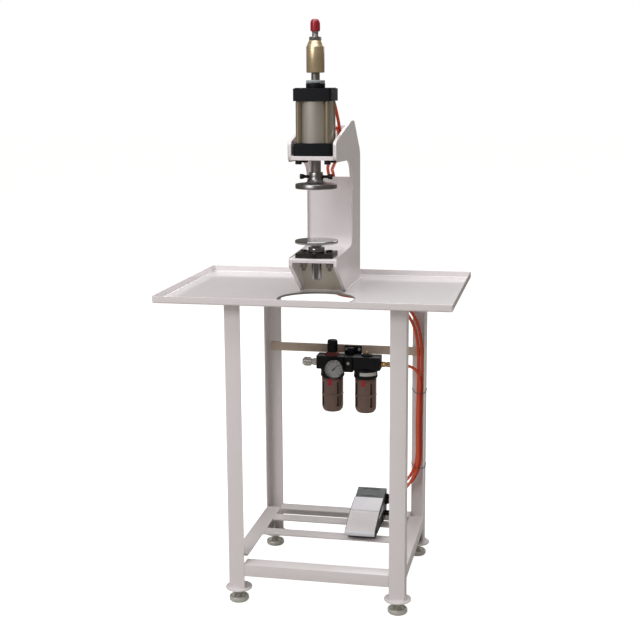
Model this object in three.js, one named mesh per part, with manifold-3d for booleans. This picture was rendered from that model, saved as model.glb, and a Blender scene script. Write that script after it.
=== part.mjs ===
// Air-operated snap setting press on a tray-topped stand of steel angle. Millimetres, +Z up,
// +Y from the operator towards the column, origin on the floor under the middle of the tray.
import * as THREE from 'three';
import { mergeVertices } from 'three/addons/utils/BufferGeometryUtils.js';
import Module from 'manifold-3d';

const wasm = await Module();
wasm.setup();

// ---- driving dimensions ----
const GAP = 0.3;          // air left between pieces that touch
const ROUND = 16;         // sides of a turned piece
const TRAY = { halfX: 367, halfY: 262, bottom: 783, sheet: 2.5, top: 801 };
const MOUTH = { x: 18, y: -145, r: 97 };                  // round opening under the nose
const HOSE_HOLE = { left: -12, right: 36, front: 108, back: 142 };
const LEG = { left: -198, right: 254, y: 218, width: 40, wall: 4, bottom: 38 };
const FOOT = { plateR: 34, plateBottom: 34, padR: 25, studR: 5.9, nutR: 9.5, studTop: 64 };
const RAIL = { drop: 31, flange: 42, wall: 4, frontTop: 104, ringTop: 116 };
const PEDAL_BARS = { width: 42, front: -24, rear: 88 };
const AIR_BAR = { left: -187, right: 243, bottom: 571, top: 595 };
const FRAME = { left: -49, right: 71, side: 8, web: 10, webFace: 80, back: 192, nose: -148 };
const LEVEL = { base: TRAY.bottom + TRAY.sheet + GAP, platform: 884, webTop: 1070, bracket: 1125 };
const AXIS = { x: 11, y: -100 };                          // ram and die centre line
const HEAD = { half: 47, rodPitch: 36, bottom: 1135.3, tube: 1166, top: 1266, crown: 1296.5 };
const ROD = { r: 12, tailR: 10.4, threadR: 8, bottom: 1072.3, shoulder: 1237.7, tailTop: 1333.3, top: 1445 };
const DIE = { upperR: 51.5, upperFace: 1054, lowerR: 53.5, lowerFace: 925.8, postR: 12.5, postEnd: 826 };
const BLOCK = { halfX: 47, halfY: 35, top: 896, boltPitch: 33 };
const UNIT = { y: 170, regX: -2, lubX: 91, bodyBottom: 538, bodyTop: 574, collarBottom: 513, bowlEnd: 414 };
const PEDAL = { left: 70, right: 149, pivotY: 44, pivotZ: 160 };
const HOSE_R = 4;
const HOSE_STEP = 27.2;    // length of one facet along a hose
const BOLT_HOLE = 5.4;     // clearance for the 10 mm tie rods and block bolts

const inner = { left: FRAME.left + FRAME.side + GAP, right: FRAME.right - FRAME.side - GAP };
const rails = { left: LEG.left + LEG.width + GAP, right: LEG.right - LEG.width - GAP };

// ---- finishes: colour, roughness, metalness ----
const FINISH = {
  powder_coat: [0xe9e4e5, 0.35, 0], black_paint: [0x17181b, 0.55, 0], aluminium: [0xb9b5ad, 0.35, 1],
  tie_steel: [0x9a8f7c, 0.35, 1], zinc: [0xa9aaa4, 0.4, 1], yellow_zinc: [0xb08c4a, 0.35, 1],
  steel: [0x8f8b87, 0.3, 1], dark_steel: [0x57524d, 0.45, 1], black_oxide: [0x1c1b1c, 0.45, 1],
  red_plastic: [0xb01722, 0.4, 0], damper: [0x8b9196, 0.6, 0], black_plastic: [0x141416, 0.4, 0],
  smoked_bowl: [0x6b4a3c, 0.2, 0], chrome: [0xd0cfcc, 0.12, 1], brass: [0xb58b4c, 0.3, 1],
  dial: [0xeeeeea, 0.4, 0], treadle: [0xc2c1c0, 0.35, 1], hose: [0xd1401f, 0.35, 0],
};

const press = new THREE.Group();

function add(name, geometry, finish) {
  const [color, roughness, metalness] = FINISH[finish];
  const mesh = new THREE.Mesh(geometry, new THREE.MeshStandardMaterial({ color, roughness, metalness }));
  mesh.name = name;
  press.add(mesh);
}

// ---- shape helpers ----
function box(x0, x1, y0, y1, z0, z1) {
  return new THREE.BoxGeometry(x1 - x0, y1 - y0, z1 - z0)
    .translate((x0 + x1) / 2, (y0 + y1) / 2, (z0 + z1) / 2);
}

// A closed outline; a corner given as [a, b, r] is rounded, starting r before it and ending r after.
function outline(corners) {
  const shape = new THREE.Shape();
  corners.forEach(([a, b, r = 0], i) => {
    const corner = new THREE.Vector2(a, b);
    const towards = (k) => new THREE.Vector2(...corners[(k + corners.length) % corners.length].slice(0, 2))
      .sub(corner).normalize().multiplyScalar(r).add(corner);
    const start = towards(i - 1);
    if (i === 0) shape.moveTo(start.x, start.y);
    else shape.lineTo(start.x, start.y);
    if (r > 0) shape.quadraticCurveTo(a, b, towards(i + 1).x, towards(i + 1).y);
  });
  return shape;
}

function extruded(shape, depth) {
  return new THREE.ExtrudeGeometry(shape, { depth, bevelEnabled: false, curveSegments: 5 });
}

// An outline in (Y, Z) carried along X, and one in (X, Z) carried along Y.
function alongX(corners, x0, x1) {
  const turn = new THREE.Matrix4().makeBasis(
    new THREE.Vector3(0, 1, 0), new THREE.Vector3(0, 0, 1), new THREE.Vector3(1, 0, 0));
  return extruded(outline(corners), x1 - x0).applyMatrix4(turn).translate(x0, 0, 0);
}

function alongY(corners, y0, y1) {
  return extruded(outline(corners), y1 - y0).rotateX(Math.PI / 2).translate(0, y1, 0);
}

// A turned piece: [radius, height] points from the bottom up the outside, on a vertical axis.
function turned(points, x = 0, y = 0, sides = ROUND) {
  const profile = points.map(([r, z]) => new THREE.Vector2(r, z));
  return new THREE.LatheGeometry(profile, sides).rotateX(Math.PI / 2).translate(x, y, 0);
}

function rod(r, z0, z1, x, y, sides = ROUND) {
  return new THREE.CylinderGeometry(r, r, z1 - z0, sides).rotateX(Math.PI / 2).translate(x, y, (z0 + z1) / 2);
}

function crossRod(r, x0, x1, y, z) {
  return new THREE.CylinderGeometry(r, r, x1 - x0, ROUND).rotateZ(Math.PI / 2).translate((x0 + x1) / 2, y, z);
}

// A closed turned profile with a bore of radius r from z0 to z1.
function ring(r, points, x, y, sides = ROUND) {
  const z0 = points[0][1];
  const z1 = points[points.length - 1][1];
  return turned([[r, z0], ...points, [r, z1], [r, z0]], x, y, sides);
}

function toSolid(geometry) {
  const bare = geometry.clone();
  bare.deleteAttribute('normal');
  bare.deleteAttribute('uv');
  const merged = mergeVertices(bare, 1e-4);
  const triangles = [];
  for (let i = 0; i < merged.index.count; i += 3) {
    const [a, b, c] = [0, 1, 2].map((k) => merged.index.getX(i + k));
    if (a !== b && b !== c && c !== a) triangles.push(a, b, c);
  }
  const vertProperties = merged.attributes.position.array;
  return new wasm.Manifold(new wasm.Mesh({ numProp: 3, vertProperties, triVerts: new Uint32Array(triangles) }));
}

function fromSolid(solid) {
  const mesh = solid.getMesh();
  const geometry = new THREE.BufferGeometry();
  geometry.setAttribute('position', new THREE.BufferAttribute(new Float32Array(mesh.vertProperties), 3));
  geometry.setIndex(new THREE.BufferAttribute(new Uint32Array(mesh.triVerts), 1));
  geometry.computeVertexNormals();
  return geometry;
}

function cut(body, ...tools) {
  return fromSolid(tools.reduce((solid, tool) => solid.subtract(toSolid(tool)), toSolid(body)));
}

function join(...pieces) {
  return fromSolid(pieces.slice(1).reduce((solid, piece) => solid.add(toSolid(piece)), toSolid(pieces[0])));
}

// ---- tray ----
function makeTray() {
  const { halfX, halfY, bottom, sheet, top } = TRAY;
  add('table_tray', cut(
    box(-halfX, halfX, -halfY, halfY, bottom, top),
    box(sheet - halfX, halfX - sheet, sheet - halfY, halfY - sheet, bottom + sheet, top + 1),
    rod(MOUTH.r, bottom - 1, top, MOUTH.x, MOUTH.y, 48),
    box(HOSE_HOLE.left, HOSE_HOLE.right, HOSE_HOLE.front, HOSE_HOLE.back, bottom - 1, top),
  ), 'powder_coat');
}

// ---- stand: legs with foot plates, levelling feet, rails and bars ----
const CORNERS = [
  { tag: 'front_left', x: LEG.left, y: -LEG.y, dx: 1, dy: 1 },
  { tag: 'front_right', x: LEG.right, y: -LEG.y, dx: -1, dy: 1 },
  { tag: 'rear_left', x: LEG.left, y: LEG.y, dx: 1, dy: -1 },
  { tag: 'rear_right', x: LEG.right, y: LEG.y, dx: -1, dy: -1 },
];

function angleOutline(a, b, da, db, along, down, wall) {
  return [[a, b], [a + da * along, b], [a + da * along, b + db * wall], [a + da * wall, b + db * wall],
    [a + da * wall, b + db * down], [a, b + db * down]];
}

function makeLegs() {
  const { width, wall, bottom } = LEG;
  for (const { tag, x, y, dx, dy } of CORNERS) {
    const centreX = x + dx * width / 2;
    const centreY = y + dy * width / 2;
    const height = TRAY.bottom - GAP - bottom;
    const angle = extruded(outline(angleOutline(x, y, dx, dy, width, width, wall)), height)
      .translate(0, 0, bottom);
    const plate = rod(FOOT.plateR, FOOT.plateBottom, bottom + GAP, centreX, centreY, 24);
    const hole = rod(FOOT.studR + 0.6, FOOT.plateBottom - 1, bottom + 1, centreX, centreY);
    add(`leg_${tag}`, cut(join(angle, plate), hole), 'powder_coat');

    const nutBottom = bottom + GAP * 2;
    add(`levelling_foot_${tag}`, turned([
      [0, 0], [FOOT.padR - 2, 0], [FOOT.padR, 2.5], [FOOT.padR, 10], [FOOT.padR - 4, 14], [9, 16.5],
      [9, FOOT.plateBottom - GAP], [FOOT.studR, FOOT.plateBottom - GAP], [FOOT.studR, nutBottom],
      [FOOT.nutR, nutBottom], [FOOT.nutR, nutBottom + 8], [FOOT.studR, nutBottom + 8],
      [FOOT.studR, FOOT.studTop], [0, FOOT.studTop],
    ], centreX, centreY), 'zinc');
  }
}

function makeRails() {
  const { drop, flange, wall, frontTop, ringTop } = RAIL;
  const lip = LEG.width;
  const end = LEG.y - LEG.width - GAP;
  add('rail_front', alongX(angleOutline(-LEG.y, frontTop, 1, -1, flange, drop, wall), rails.left, rails.right),
    'powder_coat');
  add('rail_rear', alongX(angleOutline(LEG.y, ringTop, -1, -1, flange, drop, wall), rails.left, rails.right),
    'powder_coat');
  add('rail_left', alongY(angleOutline(LEG.left, ringTop, 1, -1, lip, drop, wall), -end, end), 'powder_coat');
  add('rail_right', alongY(angleOutline(LEG.right, ringTop, -1, -1, lip, drop, wall), -end, end), 'powder_coat');
  for (const side of ['front', 'rear']) {
    const y = PEDAL_BARS[side];
    add(`pedal_bar_${side}`,
      box(rails.left, rails.right, y, y + PEDAL_BARS.width, ringTop - wall, ringTop), 'powder_coat');
  }
  const barBack = LEG.y - LEG.wall - GAP;
  add('air_unit_bar', box(AIR_BAR.left, AIR_BAR.right, barBack - wall, barBack, AIR_BAR.bottom, AIR_BAR.top),
    'powder_coat');
}

// ---- C-shaped press frame ----
function makeFrame() {
  const { left, right, side, web, webFace, back, nose } = FRAME;
  const { base, platform, webTop, bracket } = LEVEL;
  const cheek = [
    [-21, base], [nose, 866, 3], [nose, platform, 4], [webFace, platform, 38], [webFace, 1066, 14],
    [64, 1101, 16], [15, bracket, 16], [nose, bracket, 12], [nose, 1168, 8], [62, 1213, 6], [100, 1213, 6],
    [back, 1130, 18], [back, base],
  ];
  add('side_plate_left', alongX(cheek, left, left + side), 'powder_coat');
  add('side_plate_right', alongX(cheek, right - side, right), 'powder_coat');

  const postHole = rod(DIE.postR + 0.5, platform - 20, platform + 20, AXIS.x, AXIS.y);
  const boltHoles = [-BLOCK.boltPitch, BLOCK.boltPitch]
    .map((offset) => rod(BOLT_HOLE, platform - 20, platform + 20, AXIS.x + offset, AXIS.y));
  const folded = [[nose, platform - web], [nose, platform], [webFace, platform, 38], [webFace, webTop],
    [webFace + web, webTop], [webFace + web, platform - web, 48]];
  add('column_web', cut(alongX(folded, inner.left, inner.right), postHole, ...boltHoles), 'powder_coat');

  const under = platform - web - GAP;
  add('jaw_brace', alongX([
    [-20, base], [-66, under], [-57, under], [-15.5, base + web], [100, base + web], [100, base],
  ], inner.left, inner.right), 'powder_coat');

  const rodHoles = rodCentres().map(([x, y]) => rod(BOLT_HOLE, bracket - 1, bracket + 20, x, y));
  const lipped = [
    [nose, bracket], [nose, bracket + web], [85, bracket + web], [85, 1203], [95, 1203], [95, bracket],
  ];
  add('cylinder_bracket', cut(alongX(lipped, inner.left, inner.right),
    rod(ROD.r + 1.5, bracket - 1, bracket + 20, AXIS.x, AXIS.y), ...rodHoles,
    box(-22, 58, 5, 80, bracket - 1, bracket + 20)), 'powder_coat');
}

// ---- air cylinder ----
function rodCentres() {
  const p = HEAD.rodPitch;
  return [[-p, -p], [p, -p], [-p, p], [p, p]].map(([dx, dy]) => [AXIS.x + dx, AXIS.y + dy]);
}

function headBlock(z0, z1) {
  const h = HEAD.half;
  const corners = [[-h, -h], [h, -h], [h, h], [-h, h]].map(([a, b]) => [AXIS.x + a, AXIS.y + b, 7]);
  return extruded(outline(corners), z1 - z0).translate(0, 0, z0);
}

function makeCylinder() {
  const { bottom, tube, top, crown } = HEAD;
  const rodEnd = 1288;
  const holes = (z0, z1) => rodCentres().map(([x, y]) => rod(BOLT_HOLE, z0, z1, x, y, 12));
  add('cylinder_head_bottom', cut(headBlock(bottom, tube - GAP),
    rod(ROD.r + 0.5, bottom - 1, tube + 1, AXIS.x, AXIS.y), ...holes(bottom - 1, tube + 1)), 'black_paint');
  add('cylinder_head_top', cut(join(headBlock(top + GAP, crown), rod(23.5, crown - 1, 1309, AXIS.x, AXIS.y)),
    rod(ROD.tailR + 0.5, top - 1, 1320, AXIS.x, AXIS.y), ...holes(top - 1, rodEnd + GAP)), 'black_paint');
  add('cylinder_tube', ring(40, [[43, tube], [43, top]], AXIS.x, AXIS.y, 28), 'aluminium');
  rodCentres().forEach(([x, y], i) => {
    add(`tie_rod_${i + 1}`, turned([
      [0, 1115], [8, 1115], [8, LEVEL.bracket - GAP], [5, LEVEL.bracket - GAP], [5, tube + GAP],
      [6, tube + GAP], [6, top - GAP], [5, top - GAP], [5, rodEnd], [0, rodEnd],
    ], x, y, 12), 'tie_steel');
  });
  add('piston', ring(ROD.tailR + GAP, [[39.6, 1238], [39.6, 1262]], AXIS.x, AXIS.y, 28), 'aluminium');
  add('damper_washer', ring(ROD.tailR + 0.5, [[22, 1309.3], [23, 1310.3], [23, 1315], [22, 1316]],
    AXIS.x, AXIS.y), 'damper');
}

// ---- ram: rod, stroke sleeve, jam nut, cap and upper die ----
function makeRam() {
  const { r, tailR, threadR, bottom, shoulder, tailTop, top } = ROD;
  const bore = threadR + GAP;
  add('ram_rod', turned([[0, bottom], [r - 1, bottom], [r, bottom + 1], [r, shoulder], [tailR, shoulder],
    [tailR, tailTop], [threadR, tailTop], [threadR, top - 1], [threadR - 1, top], [0, top]],
  AXIS.x, AXIS.y), 'steel');
  add('stroke_sleeve', ring(bore, [[21, 1333.6], [22, 1334.6], [22, 1395.5], [17, 1407], [15, 1409.7]],
    AXIS.x, AXIS.y), 'yellow_zinc');
  const nutBottom = 1410;
  const nut = rod(16, nutBottom, nutBottom + 8.5, AXIS.x, AXIS.y, 6);
  add('jam_nut', cut(nut, rod(bore, nutBottom - 1, nutBottom + 10, AXIS.x, AXIS.y)), 'black_oxide');
  const tip = top + GAP * 2;
  add('rod_cap', turned([
    [bore, 1431.3], [11, 1431.3], [11.5, 1432.5], [11.5, 1452], [10.2, 1457.5], [7, 1460], [0, 1460.7],
    [0, tip], [bore, tip], [bore, 1431.3],
  ], AXIS.x, AXIS.y), 'red_plastic');

  const face = DIE.upperFace;
  const holder = turned([
    [0, face], [DIE.upperR - 1, face], [DIE.upperR, face + 1], [DIE.upperR, face + 10.5],
    [DIE.upperR - 1.5, face + 12], [30, face + 13], [22, face + 17], [18, face + 24], [17, face + 30],
    [17, 1093], [16, 1094], [r + GAP, 1094], [r + GAP, bottom - GAP], [0, bottom - GAP],
  ], AXIS.x, AXIS.y, 28);
  const screwZ = 1083;
  const screwHole = 4.3;
  add('upper_die_holder', cut(holder, crossRod(screwHole, AXIS.x - 30, AXIS.x + 30, AXIS.y, screwZ)), 'steel');
  for (const [tag, s] of [['left', -1], ['right', 1]]) {
    const start = r + GAP * 2;
    const shape = [[0, start], [4, start], [4, 32], [6.5, 32], [6.5, 39.5], [5.5, 40.5], [0, 40.5]];
    const screw = turned(shape).rotateY(s * Math.PI / 2).translate(AXIS.x, AXIS.y, screwZ);
    add(`die_clamp_screw_${tag}`, screw, 'black_oxide');
  }
}

// ---- lower die, its block and the fixings ----
function makeLowerDie() {
  const { lowerR, lowerFace, postR, postEnd } = DIE;
  const { halfX, halfY, top, boltPitch } = BLOCK;
  const rest = top + GAP;
  add('lower_die', turned([
    [0, postEnd], [postR - 3, postEnd], [postR, postEnd + 3], [postR, rest], [20.5, rest], [20.5, rest + 11],
    [19, rest + 12.5], [postR, rest + 13], [postR, lowerFace - 8.5], [lowerR - 1.5, lowerFace - 8],
    [lowerR, lowerFace - 7], [lowerR, lowerFace - 1], [lowerR - 1, lowerFace], [0, lowerFace],
  ], AXIS.x, AXIS.y, 28), 'steel');

  const blockBottom = LEVEL.platform + GAP;
  const screwZ = (blockBottom + top) / 2;
  const front = AXIS.y - halfY;
  const screwBore = new THREE.CylinderGeometry(3.3, 3.3, halfY, 20)
    .translate(AXIS.x, front + halfY / 2 - 1, screwZ);
  const bolts = [-1, 1].map((s) => rod(BOLT_HOLE, blockBottom - 1, top + 1, AXIS.x + s * boltPitch, AXIS.y));
  add('die_block', cut(box(AXIS.x - halfX, AXIS.x + halfX, front, AXIS.y + halfY, blockBottom, top),
    rod(postR + 0.5, blockBottom - 1, top + 1, AXIS.x, AXIS.y), ...bolts, screwBore), 'dark_steel');
  const screw = turned([
    [0, postR + 0.8], [3, postR + 0.8], [3, halfY + 1], [5, halfY + 1], [5, halfY + 5], [0, halfY + 5],
  ]).rotateX(Math.PI / 2).translate(AXIS.x, AXIS.y, screwZ);
  add('block_set_screw', screw, 'black_oxide');

  const under = LEVEL.platform - FRAME.web;
  for (const [tag, s] of [['left', -1], ['right', 1]]) {
    add(`block_bolt_${tag}`, turned([
      [0, 848], [4, 848], [5, 849], [5, 856], [8.5, 856], [8.5, under - 2], [10, under - 2], [10, under - GAP],
      [5, under - GAP], [5, top + GAP], [8, top + GAP], [8, top + 4], [7, top + 5], [0, top + 5],
    ], AXIS.x + s * boltPitch, AXIS.y, 12), 'black_oxide');
  }
}

// ---- filter, regulator and lubricator unit ----
function makeAirUnit() {
  const { y, regX, lubX, bodyBottom, bodyTop, collarBottom, bowlEnd } = UNIT;
  const portZ = 552;
  const portLeft = -44;
  const portRight = 133;
  const stem = { left: 33, right: 57 };
  const barFace = LEG.y - LEG.wall - 2 * GAP - RAIL.wall;
  add('unit_bracket', join(
    box(stem.left, stem.right, y - 18, y + 20, 530, 572),
    box(stem.left + 3, stem.right - 3, y + 18, barFace - 1, 548, 590),
    box(25, 73, barFace - 4, barFace, 566, 593),
  ), 'black_plastic');

  const body = (x0, x1, x) => [
    box(x0, x1, y - 24, y + 24, bodyBottom, bodyTop),
    rod(33, collarBottom, bodyBottom + 1, x, y, 28),
  ];
  const bonnet = turned([
    [0, bodyTop - 1], [22, bodyTop - 1], [22, bodyTop], [19, 578], [15, 583], [0, 583],
  ], regX, y);
  const gaugeFlat = box(-30, 40, y - 40, y - 24, collarBottom - 1, bodyTop + 1);
  add('regulator_body', cut(join(...body(portLeft, stem.left - GAP, regX), bonnet), gaugeFlat), 'black_plastic');
  add('regulator_knob', turned([
    [0, 583.3], [14, 583.3], [14.5, 584], [14.5, 612], [12.5, 616], [0, 617],
  ], regX, y), 'black_plastic');
  const domeX = lubX + 4;
  const dome = turned([[0, bodyTop - 1], [16, bodyTop - 1], [16, bodyTop + 2], [12, 580], [0, 581]], domeX, y);
  add('lubricator_body', join(...body(stem.right + GAP, portRight, lubX), dome), 'black_plastic');
  add('lubricator_screw', turned([[0, 581.3], [5, 581.3], [5, 585], [4, 587], [0, 587]], domeX, y, 20),
    'brass');

  const bowlTop = collarBottom - GAP;
  const bowl = [
    [0, bowlEnd], [14, bowlEnd], [24, bowlEnd + 4], [29, bowlEnd + 11], [30, bowlEnd + 18], [30, bowlTop],
    [27, bowlTop], [27, bowlEnd + 20], [22, bowlEnd + 9], [0, bowlEnd + 6],
  ];
  add('filter_bowl', turned(bowl, regX, y), 'smoked_bowl');
  add('lubricator_bowl', turned(bowl, lubX, y), 'smoked_bowl');

  const gaugeX = 8;
  const gaugeZ = 541;
  const faceFront = (geometry) => geometry.rotateX(Math.PI / 2).translate(gaugeX, y - 24 - GAP, gaugeZ);
  add('pressure_gauge', faceFront(turned([
    [0, 0], [24, 0], [25.5, 1.5], [25.5, 13], [24.5, 14], [23, 14], [22.5, 10.5], [0, 10.5],
  ], 0, 0, 28)), 'dial');
  const needle = new THREE.BoxGeometry(2, 26, 0.8).translate(0, 6, 12).rotateZ(-Math.PI / 4);
  add('gauge_needle', faceFront(needle), 'red_plastic');

  const sideways = (points, x, way, sides) => turned(points, 0, 0, sides)
    .rotateY(way * Math.PI / 2).translate(x, y, portZ);
  add('quick_coupler', sideways([
    [0, GAP], [8, GAP], [10.5, 2], [10.5, 12], [9, 14], [9, 41], [8.5, 42], [5, 42], [5, 24], [0, 24],
  ], portLeft, -1), 'chrome');
  add('coupler_sleeve', sideways([
    [9.4, 19.5], [12, 19.5], [13, 21], [13, 36], [11.5, 38], [9.4, 38], [9.4, 19.5],
  ], portLeft, -1), 'chrome');
  add('outlet_fitting', sideways([
    [0, GAP], [8, GAP], [8, 12], [6.5, 14], [7.5, 18], [7.5, 30], [0, 30],
  ], portRight, 1, 24), 'brass');
}

// ---- foot pedal valve ----
function makePedal() {
  const { left, right, pivotY, pivotZ } = PEDAL;
  const floor = RAIL.ringTop + GAP;
  const plateTop = floor + 5;
  const wall = [[28, plateTop - 1], [28, 150], [38, 163, 3], [50, 163.5], [121, 178], [121, plateTop - 1]];
  const housing = [[120, floor], [120, 183.5], [177, 196, 5], [185, 190, 4], [185, floor]];
  const pinHole = crossRod(3.3, left, right, pivotY, pivotZ);
  add('pedal_body', cut(join(
    box(left + 2, right - 2, -8, 185, floor, plateTop),
    alongX(housing, left, right),
    alongX(wall, left + 4, left + 8),
    alongX(wall, right - 8, right - 4),
  ), pinHole), 'black_plastic');

  const skirt = [[48.5, 150], [48.5, 171], [119.7, 183], [119.7, 150]];
  add('pedal_cover', join(
    alongX([[48.5, 170], [48.5, 173, 1], [119.7, 185.4], [119.7, 182.3]], left, right),
    alongX(skirt, left, left + 2),
    alongX(skirt, right - 2, right),
  ), 'treadle');

  const plate = [[-41, 133], [-41, 143, 3], [46, 172.6], [46, 168], [-37, 139.5, 1], [-38, 133]];
  const lug = [[38.5, 155], [38.5, 167.5], [46, 170], [48, 160, 2], [48, 155]];
  add('pedal_treadle', join(
    alongX(plate, left, right),
    alongX(lug, left + 10, left + 16),
    alongX(lug, right - 16, right - 10),
    crossRod(3, left + 2.5, right - 2.5, pivotY, pivotZ),
  ), 'treadle');
}

// ---- air hoses, held along their whole route ----
const HOSES = {
  // top cylinder port to the pedal, down inside the column and the rear right leg
  hose_press: [
    [36, -52.7, 1281], [36, -44, 1281], [37, -32, 1278], [41, -17, 1260], [47, -8, 1228],
    [52, 0, 1190], [50, 12, 1150], [41, 24, 1124], [28, 42, 1102], [19, 66, 1089], [16, 92, 1080],
    [16, 112, 1052], [17, 118, 1000], [17, 122, 880], [17, 124, 800], [24, 128, 768], [60, 148, 752],
    [125, 176, 742], [192, 192, 716], [226, 197, 672], [240, 197, 610], [243, 197, 517],
    [241, 197, 392], [239, 195, 262], [222, 192, 220], [198, 188, 196], [177, 185, 174],
    [162, 184, 166], [149.3, 184, 166],
  ],
  // bottom cylinder port to the pedal, beside the first one
  hose_return: [
    [24, -52.7, 1150], [24, -44, 1150], [25, -32, 1153], [29, -19, 1168], [36, -6, 1190],
    [44, 6, 1198], [46, 17, 1180], [38, 30, 1150], [23, 38, 1122], [11, 54, 1101], [5, 80, 1086],
    [5, 104, 1060], [6, 118, 1000], [7, 122, 880], [7, 124, 800], [14, 128, 757], [60, 148, 741],
    [125, 176, 730], [188, 192, 704], [216, 197, 664], [230, 197, 610], [233, 197, 517],
    [231, 197, 392], [229, 195, 268], [214, 190, 232], [192, 181, 206], [175, 172, 183],
    [162, 170, 174], [149.3, 170, 174],
  ],
  // outlet of the lubricator to the pedal
  hose_supply: [
    [163.3, 170, 552], [184, 170, 552], [208, 175, 549], [228, 183, 536], [238, 186, 508],
    [237, 186, 450], [236, 186, 392], [234, 184, 262], [219, 176, 222], [196, 165, 192],
    [176, 157, 171], [162, 156, 163], [149.3, 156, 163],
  ],
};

function makeHoses() {
  for (const [name, points] of Object.entries(HOSES)) {
    const path = new THREE.CatmullRomCurve3(points.map((p) => new THREE.Vector3(...p)), false, 'centripetal');
    const section = new THREE.Shape().absarc(0, 0, HOSE_R, 0, 2 * Math.PI);
    const steps = Math.round(path.getLength() / HOSE_STEP);
    add(name, new THREE.ExtrudeGeometry(section, { steps, extrudePath: path, curveSegments: 4 }), 'hose');
  }
}

makeTray();
makeLegs();
makeRails();
makeFrame();
makeCylinder();
makeRam();
makeLowerDie();
makeAirUnit();
makePedal();
makeHoses();

export default press;
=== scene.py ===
"""Looks of an air-operated snap setting press, built around its packed model.

Lengths inside the builders are millimetres in the model's own frame; a mesh is scaled to metres when it is
finished. Places come from the boxes of the model's nodes, and the heights written out are levels of that
model.
"""

import math

import bmesh
import bpy
from bpy.props import FloatProperty, FloatVectorProperty, IntProperty, PointerProperty
from mathutils import Matrix, Vector


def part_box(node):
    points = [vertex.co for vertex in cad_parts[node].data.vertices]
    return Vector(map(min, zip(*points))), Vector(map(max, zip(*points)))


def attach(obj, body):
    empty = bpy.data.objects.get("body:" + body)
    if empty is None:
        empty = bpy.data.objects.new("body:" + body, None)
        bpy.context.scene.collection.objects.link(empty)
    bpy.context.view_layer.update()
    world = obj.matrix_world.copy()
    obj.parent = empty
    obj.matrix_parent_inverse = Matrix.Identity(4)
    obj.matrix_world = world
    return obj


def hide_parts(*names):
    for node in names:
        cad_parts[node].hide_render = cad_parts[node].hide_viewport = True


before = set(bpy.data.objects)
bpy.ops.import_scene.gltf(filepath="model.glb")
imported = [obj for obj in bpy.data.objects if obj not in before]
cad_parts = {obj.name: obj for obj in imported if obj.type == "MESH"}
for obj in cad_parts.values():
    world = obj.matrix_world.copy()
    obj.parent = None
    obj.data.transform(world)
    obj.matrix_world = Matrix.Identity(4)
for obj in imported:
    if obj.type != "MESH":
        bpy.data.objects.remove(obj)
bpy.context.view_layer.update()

bl_info = {
    "name": "Snap setting press",
    "version": (1, 0, 0),
    "blender": (4, 5, 0),
    "location": "3D View > Sidebar > Press",
    "description": "Builds the visual pieces of a bench snap setting press around its frame",
    "category": "Object",
}

MM = 0.001
BASE = "press_frame"


class Span:
    """The box of a CAD node at rest, in millimetres: its lowest and highest corners, middle and size."""

    def __init__(self, node):
        low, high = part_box(node)
        self.low = Vector(low) / MM
        self.high = Vector(high) / MM
        self.mid = (self.low + self.high) / 2
        self.size = self.high - self.low


# ---------------------------------------------------------------- sizes and colours a user may change
def length(label, text, millimetres):
    return FloatProperty(name=label, description=text, default=millimetres * MM, unit="LENGTH", min=0)


def colour(label, text, value):
    return FloatVectorProperty(name=label, description=text, default=value, subtype="COLOR", size=3, min=0,
                               max=1)


class SNAPPRESS_PG_sizes(bpy.types.PropertyGroup):
    """Sizes of the details that the frame leaves open."""

    plate_edge: length("Plate edge", "Rounding of the cut edges of the thick plates", 1.2)
    fold_radius: length("Fold radius", "Outside radius where the press frame's plates are folded", 8.0)
    section_root: length("Angle root", "Radius inside the corner of the rolled steel angle", 4.5)
    weld_bead: length("Weld bead", "Radius of the drops that make up a weld bead", 2.2)
    thread_pitch: length("Thread pitch", "Pitch of the threads that can be seen", 1.75)
    hose_radius: length("Hose radius", "Half of the air hose's outside diameter", 4.0)
    knob_ribs: IntProperty(name="Knob ribs", description="Grip ribs round the regulator's knob", default=30,
                           min=3)
    tread_ribs: IntProperty(name="Tread ribs", description="Ridges across the foot treadle", default=13,
                            min=1)


class SNAPPRESS_PG_colours(bpy.types.PropertyGroup):
    """Colours of the main finishes."""

    paint: colour("Paint", "Powder coat of the stand, tray and press frame", (0.79, 0.755, 0.765))
    hose: colour("Hose", "Polyurethane air hose", (0.72, 0.085, 0.025))
    cap: colour("Cap", "Moulded cap on top of the rod", (0.30, 0.010, 0.022))
    sleeve: colour("Sleeve", "Yellow zinc plate of the stroke sleeve", (0.57, 0.455, 0.29))
    bowl: colour("Bowl", "Smoked bowls of the air unit", (0.15, 0.085, 0.062))


def sizes():
    return bpy.context.scene.snap_press_sizes


def colours():
    return bpy.context.scene.snap_press_colours


# ---------------------------------------------------------------- shader node groups
def group(name, inputs, outputs):
    """A shader group with its sockets; returns the tree and its input and output nodes."""
    tree = bpy.data.node_groups.new(name, "ShaderNodeTree")
    for label, kind, value in inputs:
        socket = tree.interface.new_socket(label, in_out="INPUT", socket_type=f"NodeSocket{kind}")
        socket.default_value = value
    for label, kind in outputs:
        tree.interface.new_socket(label, in_out="OUTPUT", socket_type=f"NodeSocket{kind}")
    return tree, tree.nodes.new("NodeGroupInput"), tree.nodes.new("NodeGroupOutput")


def add(tree, kind, settings=None, **wires):
    """A node with its settings, and its sockets set to a value or wired to another node's output."""
    made = tree.nodes.new(kind)
    for key, value in (settings or {}).items():
        setattr(made, key, value)
    for key, value in wires.items():
        by_number = key[0] == "i" and key[1:].isdigit()
        socket = made.inputs[int(key[1:]) if by_number else key.replace("_", " ")]
        if isinstance(value, bpy.types.NodeSocket):
            tree.links.new(value, socket)
        else:
            socket.default_value = value
    return made


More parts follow.
